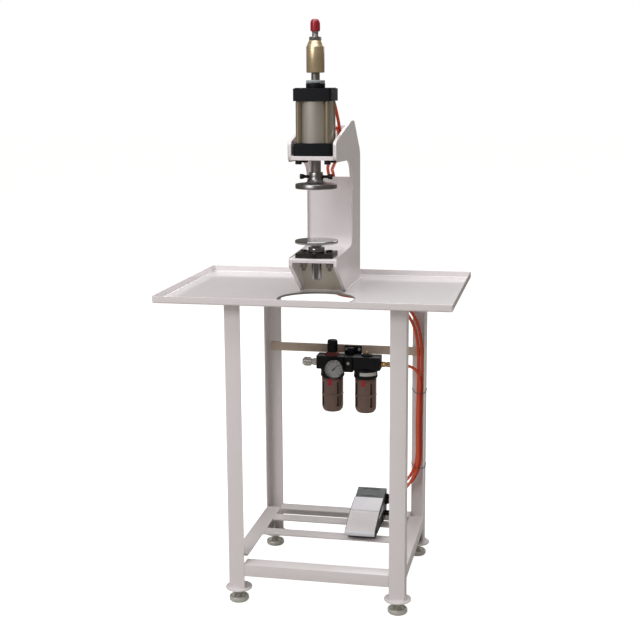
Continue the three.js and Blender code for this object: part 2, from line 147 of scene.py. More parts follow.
def tone_group():
    """Slow drift of a colour's lightness over a surface, as on real paint and metal."""
    tree, source, sink = group("tone_drift", [
        ("Color", "Color", (0.5, 0.5, 0.5, 1)), ("Scale", "Float", 8.0), ("Amount", "Float", 0.1),
    ], [("Color", "Color")])
    place = add(tree, "ShaderNodeTexCoord").outputs["Object"]
    noise = add(tree, "ShaderNodeTexNoise", Vector=place, Scale=source.outputs["Scale"], Detail=4.0)
    spread = add(tree, "ShaderNodeMath", {"operation": "MULTIPLY_ADD"}, i0=noise.outputs["Fac"],
                 i1=source.outputs["Amount"], i2=1.0)
    level = add(tree, "ShaderNodeMath", {"operation": "MULTIPLY_ADD"}, i0=source.outputs["Amount"], i1=-0.5,
                i2=spread.outputs[0])
    shade = add(tree, "ShaderNodeHueSaturation", Value=level.outputs[0], Color=source.outputs["Color"])
    tree.links.new(shade.outputs["Color"], sink.inputs["Color"])
    return tree


def grain_group():
    """Fine scratches or turning marks: noise drawn out along one axis."""
    tree, source, sink = group("fine_grain", [
        ("Stretch", "Vector", (1, 1, 1)), ("Roughness", "Float", 0.3), ("Variation", "Float", 0.1),
    ], [("Height", "Float"), ("Roughness", "Float")])
    place = add(tree, "ShaderNodeTexCoord").outputs["Object"]
    drawn = add(tree, "ShaderNodeVectorMath", {"operation": "MULTIPLY"}, i0=place,
                i1=source.outputs["Stretch"])
    noise = add(tree, "ShaderNodeTexNoise", Vector=drawn.outputs[0], Scale=1.0, Detail=5.0, Roughness=0.65)
    centred = add(tree, "ShaderNodeMath", {"operation": "SUBTRACT"}, i0=noise.outputs["Fac"], i1=0.5)
    rough = add(tree, "ShaderNodeMath", {"operation": "MULTIPLY_ADD", "use_clamp": True},
                i0=centred.outputs[0],
                i1=source.outputs["Variation"], i2=source.outputs["Roughness"])
    tree.links.new(noise.outputs["Fac"], sink.inputs["Height"])
    tree.links.new(rough.outputs[0], sink.inputs["Roughness"])
    return tree


def peel_group():
    """Orange peel of a powder coat, or the spark texture of a moulding."""
    tree, source, sink = group("orange_peel", [("Scale", "Float", 900.0)], [("Height", "Float")])
    place = add(tree, "ShaderNodeTexCoord").outputs["Object"]
    fine = add(tree, "ShaderNodeTexNoise", Vector=place, Scale=source.outputs["Scale"], Detail=2.0)
    tree.links.new(fine.outputs["Fac"], sink.inputs["Height"])
    return tree


def wear_group():
    """Where an edge has been rubbed: found from how far a rounded normal turns from the flat one."""
    tree, source, sink = group("edge_wear", [("Reach", "Float", 0.0012), ("Amount", "Float", 0.5)],
                               [("Mask", "Float")])
    rounded_normal = add(tree, "ShaderNodeBevel", {"samples": 4}, Radius=source.outputs["Reach"])
    flat = add(tree, "ShaderNodeNewGeometry").outputs["Normal"]
    same = add(tree, "ShaderNodeVectorMath", {"operation": "DOT_PRODUCT"}, i0=rounded_normal.outputs[0],
               i1=flat)
    turned = add(tree, "ShaderNodeMath", {"operation": "SUBTRACT", "use_clamp": True}, i0=1.0,
                 i1=same.outputs["Value"])
    place = add(tree, "ShaderNodeTexCoord").outputs["Object"]
    patchy = add(tree, "ShaderNodeTexNoise", Vector=place, Scale=120.0, Detail=6.0)
    product = add(tree, "ShaderNodeMath", {"operation": "MULTIPLY"}, i0=turned.outputs[0],
                  i1=patchy.outputs["Fac"])
    mask = add(tree, "ShaderNodeMath", {"operation": "MULTIPLY", "use_clamp": True}, i0=product.outputs[0],
               i1=source.outputs["Amount"])
    tree.links.new(mask.outputs[0], sink.inputs["Mask"])
    return tree


def dust_group():
    """Dust that settles on faces that look up, thicker in patches."""
    tree, source, sink = group("settled_dust", [("Amount", "Float", 0.2)], [("Mask", "Float")])
    upward = add(tree, "ShaderNodeSeparateXYZ", i0=add(tree, "ShaderNodeNewGeometry").outputs["Normal"])
    place = add(tree, "ShaderNodeTexCoord").outputs["Object"]
    patchy = add(tree, "ShaderNodeTexNoise", Vector=place, Scale=30.0, Detail=6.0)
    product = add(tree, "ShaderNodeMath", {"operation": "MULTIPLY", "use_clamp": True},
                  i0=upward.outputs["Z"],
                  i1=patchy.outputs["Fac"])
    mask = add(tree, "ShaderNodeMath", {"operation": "MULTIPLY", "use_clamp": True}, i0=product.outputs[0],
               i1=source.outputs["Amount"])
    tree.links.new(mask.outputs[0], sink.inputs["Mask"])
    return tree


GROUPS = {"tone": tone_group, "grain": grain_group, "peel": peel_group, "wear": wear_group,
          "dust": dust_group}


def shared(kind):
    """The one copy of a shader group, made the first time it is asked for."""
    key = f"press_{kind}"
    if key not in bpy.data.node_groups:
        GROUPS[kind]().name = key
    return bpy.data.node_groups[key]


class Finish:
    """A material being made: a Principled BSDF and the chain that feeds its colour, roughness and bump."""

    def __init__(self, name, colour_value, roughness, metallic=0.0, **sockets):
        self.name = name
        self.material = bpy.data.materials.new(f"{name}_finish")
        self.material.use_nodes = True
        self.tree = self.material.node_tree
        self.bsdf = self.tree.nodes["Principled BSDF"]
        self.bsdf.inputs["Base Color"].default_value = (*colour_value, 1)
        self.bsdf.inputs["Roughness"].default_value = roughness
        self.bsdf.inputs["Metallic"].default_value = metallic
        for label, value in sockets.items():
            self.bsdf.inputs[label.replace("_", " ")].default_value = value
        self.colour_value = (*colour_value, 1)
        self.roughness = roughness
        self.colour_socket = None
        self.bump = None

    def _colour(self):
        return self.colour_value if self.colour_socket is None else self.colour_socket

    def _feed_colour(self, socket):
        self.colour_socket = socket
        self.tree.links.new(socket, self.bsdf.inputs["Base Color"])
        return self

    def _feed_height(self, socket, distance):
        wires = {} if self.bump is None else {"Normal": self.bump}
        made = add(self.tree, "ShaderNodeBump", Height=socket, Strength=1.0, Distance=distance * MM,
                   **wires)
        self.bump = made.outputs["Normal"]
        self.tree.links.new(self.bump, self.bsdf.inputs["Normal"])
        return self

    def _mix(self, mask, other):
        mix = add(self.tree, "ShaderNodeMix", {"data_type": "RGBA"}, i0=mask, i6=self._colour(),
                  i7=(*other, 1))
        return self._feed_colour(mix.outputs[2])

    def _place(self, kind, **wires):
        return add(self.tree, "ShaderNodeGroup", {"node_tree": shared(kind)}, **wires)

    def tone(self, scale, amount):
        return self._feed_colour(self._place("tone", Color=self._colour(), Scale=scale,
                                             Amount=amount).outputs[0])

    def grain(self, stretch, variation, depth):
        made = self._place("grain", Stretch=stretch, Roughness=self.roughness, Variation=variation)
        self.tree.links.new(made.outputs["Roughness"], self.bsdf.inputs["Roughness"])
        return self._feed_height(made.outputs["Height"], depth)

    def peel(self, scale, depth):
        return self._feed_height(self._place("peel", Scale=scale).outputs[0], depth)

    def wear(self, other, amount, reach=1.2):
        return self._mix(self._place("wear", Reach=reach * MM, Amount=amount).outputs[0], other)

    def dust(self, amount, other=(0.5, 0.47, 0.43)):
        return self._mix(self._place("dust", Amount=amount).outputs[0], other)


ROUND_Z = (40, 40, 1600)      # grain of a piece turned on an upright axis: rings one above the other
ROUND_X = (1600, 40, 40)
LONG_Z = (900, 900, 12)       # grain drawn along an upright bar
LONG_X = (12, 900, 900)
EVEN = (500, 500, 500)


def make_finishes():
    """Every material of the press, by name."""
    c = colours()
    made = {}

    def keep(finish):
        made[finish.name] = finish.material

    keep(Finish("powder_coat", c.paint, 0.36, Coat_Weight=0.25, Coat_Roughness=0.16).tone(3.0, 0.05)
         .peel(700.0, 0.045).wear((0.55, 0.5, 0.47), 0.35, 0.8).dust(0.10))
    keep(Finish("tray_gloss", c.paint, 0.2, Coat_Weight=0.6, Coat_Roughness=0.07).tone(2.0, 0.04)
         .peel(500.0, 0.03).wear((0.6, 0.55, 0.52), 0.3, 0.8).dust(0.08))
    # painted shade: a darker, olive copy of the powder coat for the brace inside the lower jaw, which lies in
    # shadow
    keep(Finish("painted_shade_coat", (0.62, 0.585, 0.50), 0.45).tone(3.0, 0.08).peel(700.0, 0.045)
         .wear((0.5, 0.45, 0.4), 0.35, 0.8).dust(0.12))
    # painted shade: a darker, warmer copy of the powder coat for the air unit's bar, which lies in the tray's
    # shadow
    keep(Finish("painted_shade_bar_coat", (0.60, 0.49, 0.40), 0.45).tone(3.0, 0.08).peel(700.0, 0.045)
         .wear((0.5, 0.42, 0.36), 0.35, 0.8).dust(0.12))
    keep(Finish("weld", c.paint, 0.42, Coat_Weight=0.2, Coat_Roughness=0.2).tone(60.0, 0.14).peel(900.0,
                                                                                                  0.08))
    keep(Finish("black_paint", (0.004, 0.005, 0.007), 0.5, Specular_IOR_Level=0.2).tone(40.0, 0.5)
         .peel(1300.0, 0.05).wear((0.10, 0.10, 0.11), 0.6).dust(0.02))
    keep(Finish("barrel_alloy", (0.62, 0.59, 0.535), 0.38, 0.85, Anisotropic=0.4).tone(12.0, 0.1)
         .grain(LONG_Z, 0.25, 0.02))
    keep(Finish("tie_steel", (0.44, 0.37, 0.27), 0.34, 0.8).tone(30.0, 0.2).grain(LONG_Z, 0.25, 0.02))
    keep(Finish("dull_zinc", (0.52, 0.53, 0.49), 0.42, 0.7).tone(60.0, 0.3).grain(EVEN, 0.3,
                                                                                  0.06).dust(0.35))
    keep(Finish("pad_alloy", (0.66, 0.67, 0.62), 0.42, 0.25).tone(50.0, 0.25).peel(700.0, 0.06)
         .wear((0.35, 0.34, 0.30), 1.2).dust(0.2, (0.45, 0.43, 0.37)))
    keep(Finish("mirror_steel", (0.36, 0.37, 0.37), 0.1, 1.0).tone(20.0, 0.2).grain(EVEN, 0.2, 0.006)
         .wear((0.65, 0.63, 0.6), 0.8))
    keep(Finish("yellow_zinc", c.sleeve, 0.36, 0.75).tone(14.0, 0.1).grain(ROUND_Z, 0.1, 0.004)
         .wear((0.72, 0.62, 0.46), 0.8))
    keep(Finish("ground_steel", (0.34, 0.315, 0.30), 0.42, 1.0).tone(40.0, 0.16).grain(ROUND_Z, 0.22,
                                                                                       0.015))
    keep(Finish("die_steel", (0.30, 0.295, 0.285), 0.34, 1.0).tone(25.0, 0.25).grain(EVEN, 0.25, 0.012)
         .wear((0.65, 0.63, 0.6), 0.8))
    keep(Finish("oiled_steel", (0.055, 0.048, 0.042), 0.42, 0.85).tone(60.0, 0.4).grain(LONG_X, 0.3, 0.03)
         .wear((0.42, 0.39, 0.36), 1.6))
    keep(Finish("black_oxide", (0.022, 0.021, 0.022), 0.42, 0.6).tone(90.0, 0.5).grain(EVEN, 0.25, 0.02)
         .wear((0.2, 0.19, 0.18), 0.9, 0.6))
    keep(Finish("cap_red", c.cap, 0.3, Coat_Weight=0.35, Coat_Roughness=0.15).tone(60.0, 0.18)
         .peel(600.0, 0.05))
    keep(Finish("damper_rubber", (0.30, 0.33, 0.35), 0.6).tone(50.0, 0.15).peel(1200.0, 0.05))
    keep(Finish("black_nylon", (0.006, 0.006, 0.008), 0.48, Specular_IOR_Level=0.22).tone(40.0, 0.4)
         .peel(1500.0, 0.05).wear((0.04, 0.04, 0.045), 0.8).dust(0.01))
    keep(Finish("gauge_rim", (0.34, 0.34, 0.34), 0.25, 1.0).tone(60.0, 0.2).peel(900.0, 0.02))
    keep(Finish("bonnet_red", (0.12, 0.012, 0.012), 0.42).tone(60.0, 0.2).peel(1300.0, 0.04))
    keep(Finish("lock_red", (0.46, 0.012, 0.03), 0.35).tone(60.0, 0.15).peel(1100.0, 0.04))
    keep(Finish("smoked_guard", c.bowl, 0.28, Coat_Weight=0.6, Coat_Roughness=0.08, Specular_IOR_Level=0.6)
         .tone(18.0, 0.35).peel(300.0, 0.05))
    keep(Finish("nickel", (0.68, 0.665, 0.64), 0.14, 1.0).tone(60.0, 0.12).grain(ROUND_X, 0.12, 0.01))
    keep(Finish("brass", (0.55, 0.37, 0.17), 0.24, 1.0).tone(60.0, 0.2).grain(ROUND_X, 0.2, 0.012))
    keep(Finish("dial_white", (0.70, 0.70, 0.735), 0.5).tone(40.0, 0.05).peel(1500.0, 0.02))
    keep(Finish("dial_ink", (0.015, 0.015, 0.018), 0.5).tone(40.0, 0.3).peel(1500.0, 0.02))
    keep(Finish("bowl_dark", (0.045, 0.022, 0.016), 0.3, Coat_Weight=0.3, Coat_Roughness=0.1).tone(30.0,
                                                                                                   0.4)
         .peel(300.0, 0.05))
    # painted shade: a dark finish for the ring round the tray's mouth, standing in for the shadow on the cut
    # edge
    keep(Finish("mouth_shade", (0.20, 0.19, 0.17), 0.5).tone(30.0, 0.3).peel(900.0, 0.06))
    keep(Finish("lens", (0.98, 0.98, 0.98), 0.03, Transmission_Weight=1.0, IOR=1.45).peel(60.0, 0.004))
    keep(Finish("blank_label", (0.62, 0.62, 0.6), 0.35, 0.3).tone(80.0, 0.2).peel(900.0, 0.02))
    keep(Finish("treadle_alloy", (0.88, 0.85, 0.87), 0.38, 0.2).tone(30.0, 0.25).grain(LONG_X, 0.3, 0.04)
         .wear((0.95, 0.95, 0.95), 0.9).dust(0.15, (0.42, 0.39, 0.36)))
    keep(Finish("cover_silver", (0.80, 0.81, 0.86), 0.36, 0.0, Coat_Weight=0.25, Coat_Roughness=0.15)
         .tone(18.0, 0.05).peel(900.0, 0.04).wear((0.5, 0.5, 0.5), 0.4).dust(0.06))
    keep(Finish("pedal_grey", (0.07, 0.082, 0.082), 0.45, 0.2).tone(40.0, 0.3).peel(900.0, 0.1)
         .wear((0.30, 0.31, 0.31), 0.9).dust(0.4, (0.35, 0.38, 0.37)))
    keep(Finish("foot_rubber", (0.02, 0.02, 0.02), 0.75).tone(50.0, 0.4).peel(800.0, 0.1).dust(0.3))
    keep(Finish("hose_pu", c.hose, 0.27, Coat_Weight=0.2, Coat_Roughness=0.1, Subsurface_Weight=0.08)
         .tone(14.0, 0.16).peel(160.0, 0.03))
    keep(Finish("tie_black", (0.02, 0.02, 0.02), 0.4).tone(60.0, 0.3).peel(1300.0, 0.04))
    return made


FINISHES = {}


def finish_of(name):
    if not FINISHES:
        FINISHES.update(make_finishes())
    return FINISHES[name]


# ---------------------------------------------------------------- mesh helpers, all in millimetres
AXES = {
    "+Z": Matrix.Identity(3), "-Z": Matrix.Rotation(math.pi, 3, "X"),
    "+X": Matrix.Rotation(math.pi / 2, 3, "Y"), "-X": Matrix.Rotation(-math.pi / 2, 3, "Y"),
    "+Y": Matrix.Rotation(-math.pi / 2, 3, "X"), "-Y": Matrix.Rotation(math.pi / 2, 3, "X"),
}


def mesh_of(name, bm):
    """A mesh in metres from a bmesh in millimetres, with its points merged and its faces turned out."""
    bmesh.ops.remove_doubles(bm, verts=bm.verts, dist=1e-4)
    bmesh.ops.recalc_face_normals(bm, faces=bm.faces)
    bmesh.ops.scale(bm, vec=(MM, MM, MM), verts=bm.verts)
    mesh = bpy.data.meshes.new(name)
    bm.to_mesh(mesh)
    bm.free()
    return mesh


def piece(name, bm, material, body=BASE, replaced=(), bevel=0.0, segments=2, sharp=38.0):
    """Turns a bmesh in millimetres into a finished piece that rides on a body."""
    return dressed(name, mesh_of(name, bm), material, body, replaced, bevel, segments, sharp)


def dressed(name, mesh, material, body=BASE, replaced=(), bevel=0.0, segments=2, sharp=38.0):
    """Gives a mesh in metres its material, shading and bevel, and makes it ride."""
    mesh.materials.clear()
    mesh.materials.append(finish_of(material))
    mesh.shade_smooth()
    made = bpy.data.objects.new(name, mesh)
    bpy.context.scene.collection.objects.link(made)
    if bevel > 0:
        soft = made.modifiers.new("edges", "BEVEL")
        soft.width = bevel * MM
        soft.segments = segments
        soft.limit_method = "ANGLE"
        soft.angle_limit = math.radians(40)
        soft.harden_normals = True
    else:
        mesh.set_sharp_from_angle(angle=math.radians(sharp))
    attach(made, body)
    if replaced:
        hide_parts(*replaced)
    return made


def rounded(corners, steps=5):
    """An outline whose corners given as (a, b, r) are rounded, starting r before and ending r after."""
    points = []
    for i, corner in enumerate(corners):
        here = Vector(corner[:2])
        r = corner[2] if len(corner) > 2 else 0
        if r == 0:
            points.append(here)
            continue
        before = here + (Vector(corners[i - 1][:2]) - here).normalized() * r
        after = here + (Vector(corners[(i + 1) % len(corners)][:2]) - here).normalized() * r
        for k in range(steps + 1):
            t = k / steps
            points.append(before * (1 - t) ** 2 + here * 2 * t * (1 - t) + after * t ** 2)
    return points


def soften(points, r=0.6):
    """A turned profile with each plain corner broken by a small curve."""
    soft = [points[0]]
    for before, here, after in zip(points, points[1:], points[2:]):
        a = Vector(before[:2]) - Vector(here[:2])
        b = Vector(after[:2]) - Vector(here[:2])
        if len(here) > 2 or min(a.length, b.length) < 2.2 * r or here[0] == 0:
            soft.append(here)
            continue
        start = Vector(here[:2]) + a.normalized() * r
        end = Vector(here[:2]) + b.normalized() * r
        middle = (start + end) / 4 + Vector(here[:2]) / 2
        soft += [tuple(start), tuple(middle), tuple(end)]
    return soft + [points[-1]]


def flat_radius(angle, apothem, sides):
    part = 2 * math.pi / sides
    return apothem / math.cos(((angle + part / 2) % part) - part / 2)


def turn(bm, points, centre, axis="+Z", segments=64, closed=False):
    """Adds a turned shape; a point (r, h, apothem, sides) is held to the flats of a polygon."""
    matrix = AXES[axis]
    centre = Vector(centre)
    rings = []
    for r, h, *flats in points:
        if r == 0:
            rings.append([bm.verts.new(centre + matrix @ Vector((0, 0, h)))])
            continue
        ring = []
        for k in range(segments):
            angle = 2 * math.pi * k / segments
            radius = min(r, flat_radius(angle, flats[0], flats[1])) if flats else r
            spot = Vector((radius * math.cos(angle), radius * math.sin(angle), h))
            ring.append(bm.verts.new(centre + matrix @ spot))
        rings.append(ring)
    pairs = list(zip(rings, rings[1:]))
    if closed:
        pairs.append((rings[-1], rings[0]))
    for lower, upper in pairs:
        for k in range(segments):
            nxt = (k + 1) % segments
            under = [lower[k], lower[nxt]] if len(lower) > 1 else [lower[0]]
            over = [upper[nxt], upper[k]] if len(upper) > 1 else [upper[0]]
            if len(under) + len(over) > 2:
                bm.faces.new(under + over)


def block(bm, low, high):
    """Adds a box between two corners."""
    low, high = Vector(low), Vector(high)
    place = Matrix.Translation((low + high) / 2) @ Matrix.Diagonal((*(high - low), 1))
    bmesh.ops.create_cube(bm, size=1, matrix=place)


PLANES = {
    "YZ": lambda a, b, d: Vector((d, a, b)),
    "XZ": lambda a, b, d: Vector((a, d, b)),
    "XY": lambda a, b, d: Vector((a, b, d)),
}


def bridge(bm, near, far):
    """Joins two rings of the same count with a band of faces."""
    for k in range(len(near)):
        nxt = (k + 1) % len(near)
        bm.faces.new([near[k], near[nxt], far[nxt], far[k]])


def edges_of(bm, ring):
    """The edges along a closed ring of vertices."""
    return [bm.edges.get((ring[k], ring[(k + 1) % len(ring)])) for k in range(len(ring))]


def slab(bm, near, far):
    """Adds a solid between two like polygons given as points."""
    near = [bm.verts.new(p) for p in near]
    far = [bm.verts.new(p) for p in far]
    bm.faces.new(near)
    bm.faces.new(list(reversed(far)))
    for k in range(len(near)):
        nxt = (k + 1) % len(near)
        bm.faces.new([near[nxt], near[k], far[k], far[nxt]])


def prism(bm, outline, plane, start, end):
    """Adds an outline in one plane carried from start to end across it."""
    place = PLANES[plane]
    slab(bm, [place(a, b, start) for a, b in outline], [place(a, b, end) for a, b in outline])


def thread(r, start, end, depth=0.55):
    """Profile points of a threaded stretch, as rings at the thread's pitch."""
    pitch = sizes().thread_pitch / MM
    count = max(1, round(abs(end - start) / pitch))
    step = (end - start) / count
    points = [(r - depth, start)]
    for k in range(count):
        points += [(r, start + (k + 0.5) * step), (r - depth, start + (k + 1) * step)]
    return points


def cap_screw(bm, centre, axis, head_r, head_h, shank_r, shank_l, tip=True):
    """A socket cap screw: its head runs from 0 to head_h along axis, its threaded shank the other way."""
    start = [(0, -shank_l), (shank_r - 0.8, -shank_l)] if tip else [(shank_r, -shank_l)]
    body = start + thread(shank_r, -shank_l + 0.8, -0.6) + [(shank_r, 0)]
    head = soften([(shank_r, 0), (head_r, 0), (head_r, head_h), (head_r * 0.5, head_h)], 0.5)[1:]
    socket = [(99, head_h, head_r * 0.5, 6), (99, head_h * 0.45, head_r * 0.5, 6), (0, head_h * 0.35)]
    turn(bm, body + head[:-1] + socket, centre, axis, 36)


def hex_nut(bm, centre, axis, across, height, bore):
    """A nut with chamfered corners, from 0 to height along axis."""
    a = across / 2
    crown = a * 1.04
    turn(bm, [(bore, 0), (crown, 0, a, 6), (a * 1.16, a * 0.1, a, 6), (a * 1.16, height - a * 0.1, a, 6),
              (crown, height, a, 6), (bore, height)], centre, axis, 48, closed=True)


# ---------------------------------------------------------------- geometry node trees
def tree_for(name, inputs):
    """A geometry tree with named inputs; returns it with its input and output nodes."""
    tree = bpy.data.node_groups.new(name, "GeometryNodeTree")
    tree.interface.new_socket("Geometry", in_out="INPUT", socket_type="NodeSocketGeometry")
    for label, kind in inputs:
        tree.interface.new_socket(label, in_out="INPUT", socket_type=f"NodeSocket{kind}")
    tree.interface.new_socket("Geometry", in_out="OUTPUT", socket_type="NodeSocketGeometry")
    return tree, tree.nodes.new("NodeGroupInput"), tree.nodes.new("NodeGroupOutput")


def end_tree(tree, source, sink, geometry):
    """Every tree ends the same way: instances made real, shaded smooth, then the material."""
    real = add(tree, "GeometryNodeRealizeInstances", Geometry=geometry)
    smooth = add(tree, "GeometryNodeSetShadeSmooth", Geometry=real.outputs[0])
    coat = add(tree, "GeometryNodeSetMaterial", Geometry=smooth.outputs[0],
               Material=source.outputs["Material"])
    tree.links.new(coat.outputs[0], sink.inputs[0])
    return tree


def sweep_tree():
    """Carries a round section along the edges of a path."""
    tree, source, sink = tree_for("sweep_round", [("Radius", "Float"), ("Sides", "Int"),
                                                  ("Material", "Material")])
    path = add(tree, "GeometryNodeMeshToCurve", Mesh=source.outputs["Geometry"])
    ring = add(tree, "GeometryNodeCurvePrimitiveCircle", Radius=source.outputs["Radius"],
               Resolution=source.outputs["Sides"])
    tube = add(tree, "GeometryNodeCurveToMesh", Curve=path.outputs[0], Profile_Curve=ring.outputs[0],
               Fill_Caps=True)
    return end_tree(tree, source, sink, tube.outputs[0])


def bead_tree():
    """Lays overlapping drops along a path, as a weld bead, with a fixed seed."""
    tree, source, sink = tree_for("weld_drops", [("Radius", "Float"), ("Spacing", "Float"), ("Seed", "Int"),
                                                 ("Material", "Material")])
    path = add(tree, "GeometryNodeMeshToCurve", Mesh=source.outputs["Geometry"])
    spots = add(tree, "GeometryNodeResampleCurve", {"mode": "LENGTH"}, Curve=path.outputs[0],
                Length=source.outputs["Spacing"])
    drop = add(tree, "GeometryNodeMeshIcoSphere", Radius=source.outputs["Radius"], Subdivisions=2)
    size = add(tree, "FunctionNodeRandomValue", {"data_type": "FLOAT"}, i2=0.8, i3=1.15,
               Seed=source.outputs["Seed"])
    row = add(tree, "GeometryNodeInstanceOnPoints", Points=spots.outputs[0], Instance=drop.outputs[0],
              Scale=size.outputs[1])
    return end_tree(tree, source, sink, row.outputs[0])


def ring_tree():
    """Sets small bars round an arc, each turned to face out, then moves and turns the whole ring."""
    tree, source, sink = tree_for("ring_of_bars", [
        ("Count", "Int"), ("Radius", "Float"), ("Start", "Float"), ("Sweep", "Float"), ("Bar", "Vector"),
        ("Move", "Vector"), ("Turn", "Vector"), ("Material", "Material")])
    out = source.outputs
    spots = add(tree, "GeometryNodeMeshLine", Count=out["Count"])
    index = add(tree, "GeometryNodeInputIndex").outputs[0]
    share = add(tree, "ShaderNodeMath", {"operation": "DIVIDE"}, i0=index, i1=out["Count"])
    angle = add(tree, "ShaderNodeMath", {"operation": "MULTIPLY_ADD"}, i0=share.outputs[0], i1=out["Sweep"],
                i2=out["Start"])
    spin = add(tree, "ShaderNodeCombineXYZ", Z=angle.outputs[0])
    arm = add(tree, "ShaderNodeCombineXYZ", X=out["Radius"])
    spot = add(tree, "ShaderNodeVectorRotate", {"rotation_type": "Z_AXIS"}, Vector=arm.outputs[0],
               Angle=angle.outputs[0])
    placed = add(tree, "GeometryNodeSetPosition", Geometry=spots.outputs[0], Position=spot.outputs[0])
    bar = add(tree, "GeometryNodeMeshCube", Size=out["Bar"])
    ring = add(tree, "GeometryNodeInstanceOnPoints", Points=placed.outputs[0], Instance=bar.outputs[0],
               Rotation=spin.outputs[0])
    moved = add(tree, "GeometryNodeTransform", Geometry=ring.outputs[0], Translation=out["Move"],
                Rotation=out["Turn"])
    return end_tree(tree, source, sink, moved.outputs[0])


def copies_tree():
    """Sets a copy of one item at each point of the mesh that carries the tree."""
    tree, source, sink = tree_for("item_at_points", [("Item", "Object"), ("Material", "Material")])
    item = add(tree, "GeometryNodeObjectInfo", {"transform_space": "ORIGINAL"},
               Object=source.outputs["Item"])
    row = add(tree, "GeometryNodeInstanceOnPoints", Points=source.outputs["Geometry"],
              Instance=item.outputs["Geometry"])
    return end_tree(tree, source, sink, row.outputs[0])


TREES = {"sweep": sweep_tree, "beads": bead_tree, "ring": ring_tree, "copies": copies_tree}


def grown(kind, points, edges, material, **inputs):
    """Runs one of the trees on a small mesh of points in millimetres; returns the plain mesh it makes."""
    key = f"press_{kind}"
    if key not in bpy.data.node_groups:
        TREES[kind]().name = key
    tree = bpy.data.node_groups[key]
    seedling = bpy.data.meshes.new("seedling")
    seedling.from_pydata([tuple(Vector(p) * MM) for p in points], edges, [])
    carrier = bpy.data.objects.new("carrier", seedling)
    bpy.context.scene.collection.objects.link(carrier)
    modifier = carrier.modifiers.new("grow", "NODES")
    modifier.node_group = tree
    inputs["Material"] = finish_of(material)
    for item in tree.interface.items_tree:
        if item.item_type == "SOCKET" and item.in_out == "INPUT" and item.name in inputs:
            modifier[item.identifier] = inputs[item.name]
    graph = bpy.context.evaluated_depsgraph_get()
    mesh = bpy.data.meshes.new_from_object(carrier.evaluated_get(graph), depsgraph=graph)
    bpy.data.objects.remove(carrier)
    return mesh


def chain(count, closed=False):
    links = [(k, k + 1) for k in range(count - 1)]
    return links + [(count - 1, 0)] if closed else links


def swept(name, points, radius, material, body=BASE, replaced=(), sides=20, closed=False):
    mesh = grown("sweep", points, chain(len(points), closed), material, Radius=radius * MM, Sides=sides)
    return dressed(name, mesh, material, body, replaced, sharp=60)


def welded(name, runs, seed):
    """Weld beads along straight runs given as pairs of points."""
    points = [p for run in runs for p in run]
    edges = [(2 * k, 2 * k + 1) for k in range(len(runs))]
    bead = sizes().weld_bead
    mesh = grown("beads", points, edges, "weld", Radius=bead, Spacing=bead * 0.9, Seed=seed)
    return dressed(name, mesh, "weld", sharp=80)


def ring_of_bars(name, count, radius, bar, move, turned, material, body=BASE, start=0.0,
                 sweep=2 * math.pi):
    mesh = grown("ring", [(0, 0, 0)], [], material, Count=count, Radius=radius * MM, Start=start,
                 Sweep=sweep,
                 Bar=tuple(Vector(bar) * MM), Move=tuple(Vector(move) * MM), Turn=turned)
    return dressed(name, mesh, material, body, sharp=30)


def copied(name, bm, points, material, body=BASE, replaced=()):
    """Copies of a bmesh item, made about the origin in millimetres, at each point."""
    item = bpy.data.objects.new(f"{name}_item", mesh_of(f"{name}_pattern", bm))
    bpy.context.scene.collection.objects.link(item)
    mesh = grown("copies", points, [], material, Item=item)
    bpy.data.objects.remove(item)
    return dressed(name, mesh, material, body, replaced)


def loop_of(bm, points, place):
    verts = [bm.verts.new(place(a, b)) for a, b in points]
    return verts, [bm.edges.new((verts[k], verts[(k + 1) % len(verts)])) for k in range(len(verts))]


def pierced(bm, outline, holes, plane, start, end):
    """Adds an outline with holes from start to end across a plane, or wherever a function places it."""
    place = plane if callable(plane) else PLANES[plane]
    layers = []
    for depth in (start, end):
        made = [loop_of(bm, points, lambda a, b, d=depth: place(a, b, d)) for points in [outline, *holes]]
        bmesh.ops.triangle_fill(bm, use_beauty=True, edges=[e for _, edges in made for e in edges])
        layers.append([verts for verts, _ in made])
    for near, far in zip(*layers):
        bridge(bm, near, far)


def circle(a, b, r, sides=40):
    return [(a + r * math.cos(2 * math.pi * k / sides), b + r * math.sin(2 * math.pi * k / sides))
            for k in range(sides)]


def rectangle(low_a, high_a, low_b, high_b, r=0.0):
    corners = [(low_a, low_b, r), (high_a, low_b, r), (high_a, high_b, r), (low_a, high_b, r)]
    return rounded(corners) if r else [c[:2] for c in corners]


def trimmed(bm, point, normal):
    """Cuts away what lies beyond a plane and closes the cut."""
    geometry = [*bm.verts, *bm.edges, *bm.faces]
    result = bmesh.ops.bisect_plane(bm, geom=geometry, plane_co=point, plane_no=normal, clear_outer=True)
    rim = [e for e in result["geom_cut"] if isinstance(e, bmesh.types.BMEdge)]
    bmesh.ops.edgenet_fill(bm, edges=rim)


def angle_section(corner_a, corner_b, da, db, along, down, wall):
    """Outline of a rolled angle: a root radius inside its corner and rounded toes."""
    root = sizes().section_root / MM
    toe = wall * 0.6
    a, b = corner_a, corner_b
    return rounded([
        (a, b, 0.8), (a + da * along, b, 0.5), (a + da * along, b + db * wall, toe),
        (a + da * wall, b + db * wall, root), (a + da * wall, b + db * down, toe), (a, b + db * down, 0.5)],
                   4)


def part_operator(idname, label, text, build):
    """An operator class that builds one piece, or one group of like pieces."""

    def execute(self, context):
        build()
        return {"FINISHED"}

    members = {"bl_idname": f"snappress.{idname}", "bl_label": label, "__doc__": text, "execute": execute}
    return type(f"SNAPPRESS_OT_{idname}", (bpy.types.Operator,), members)


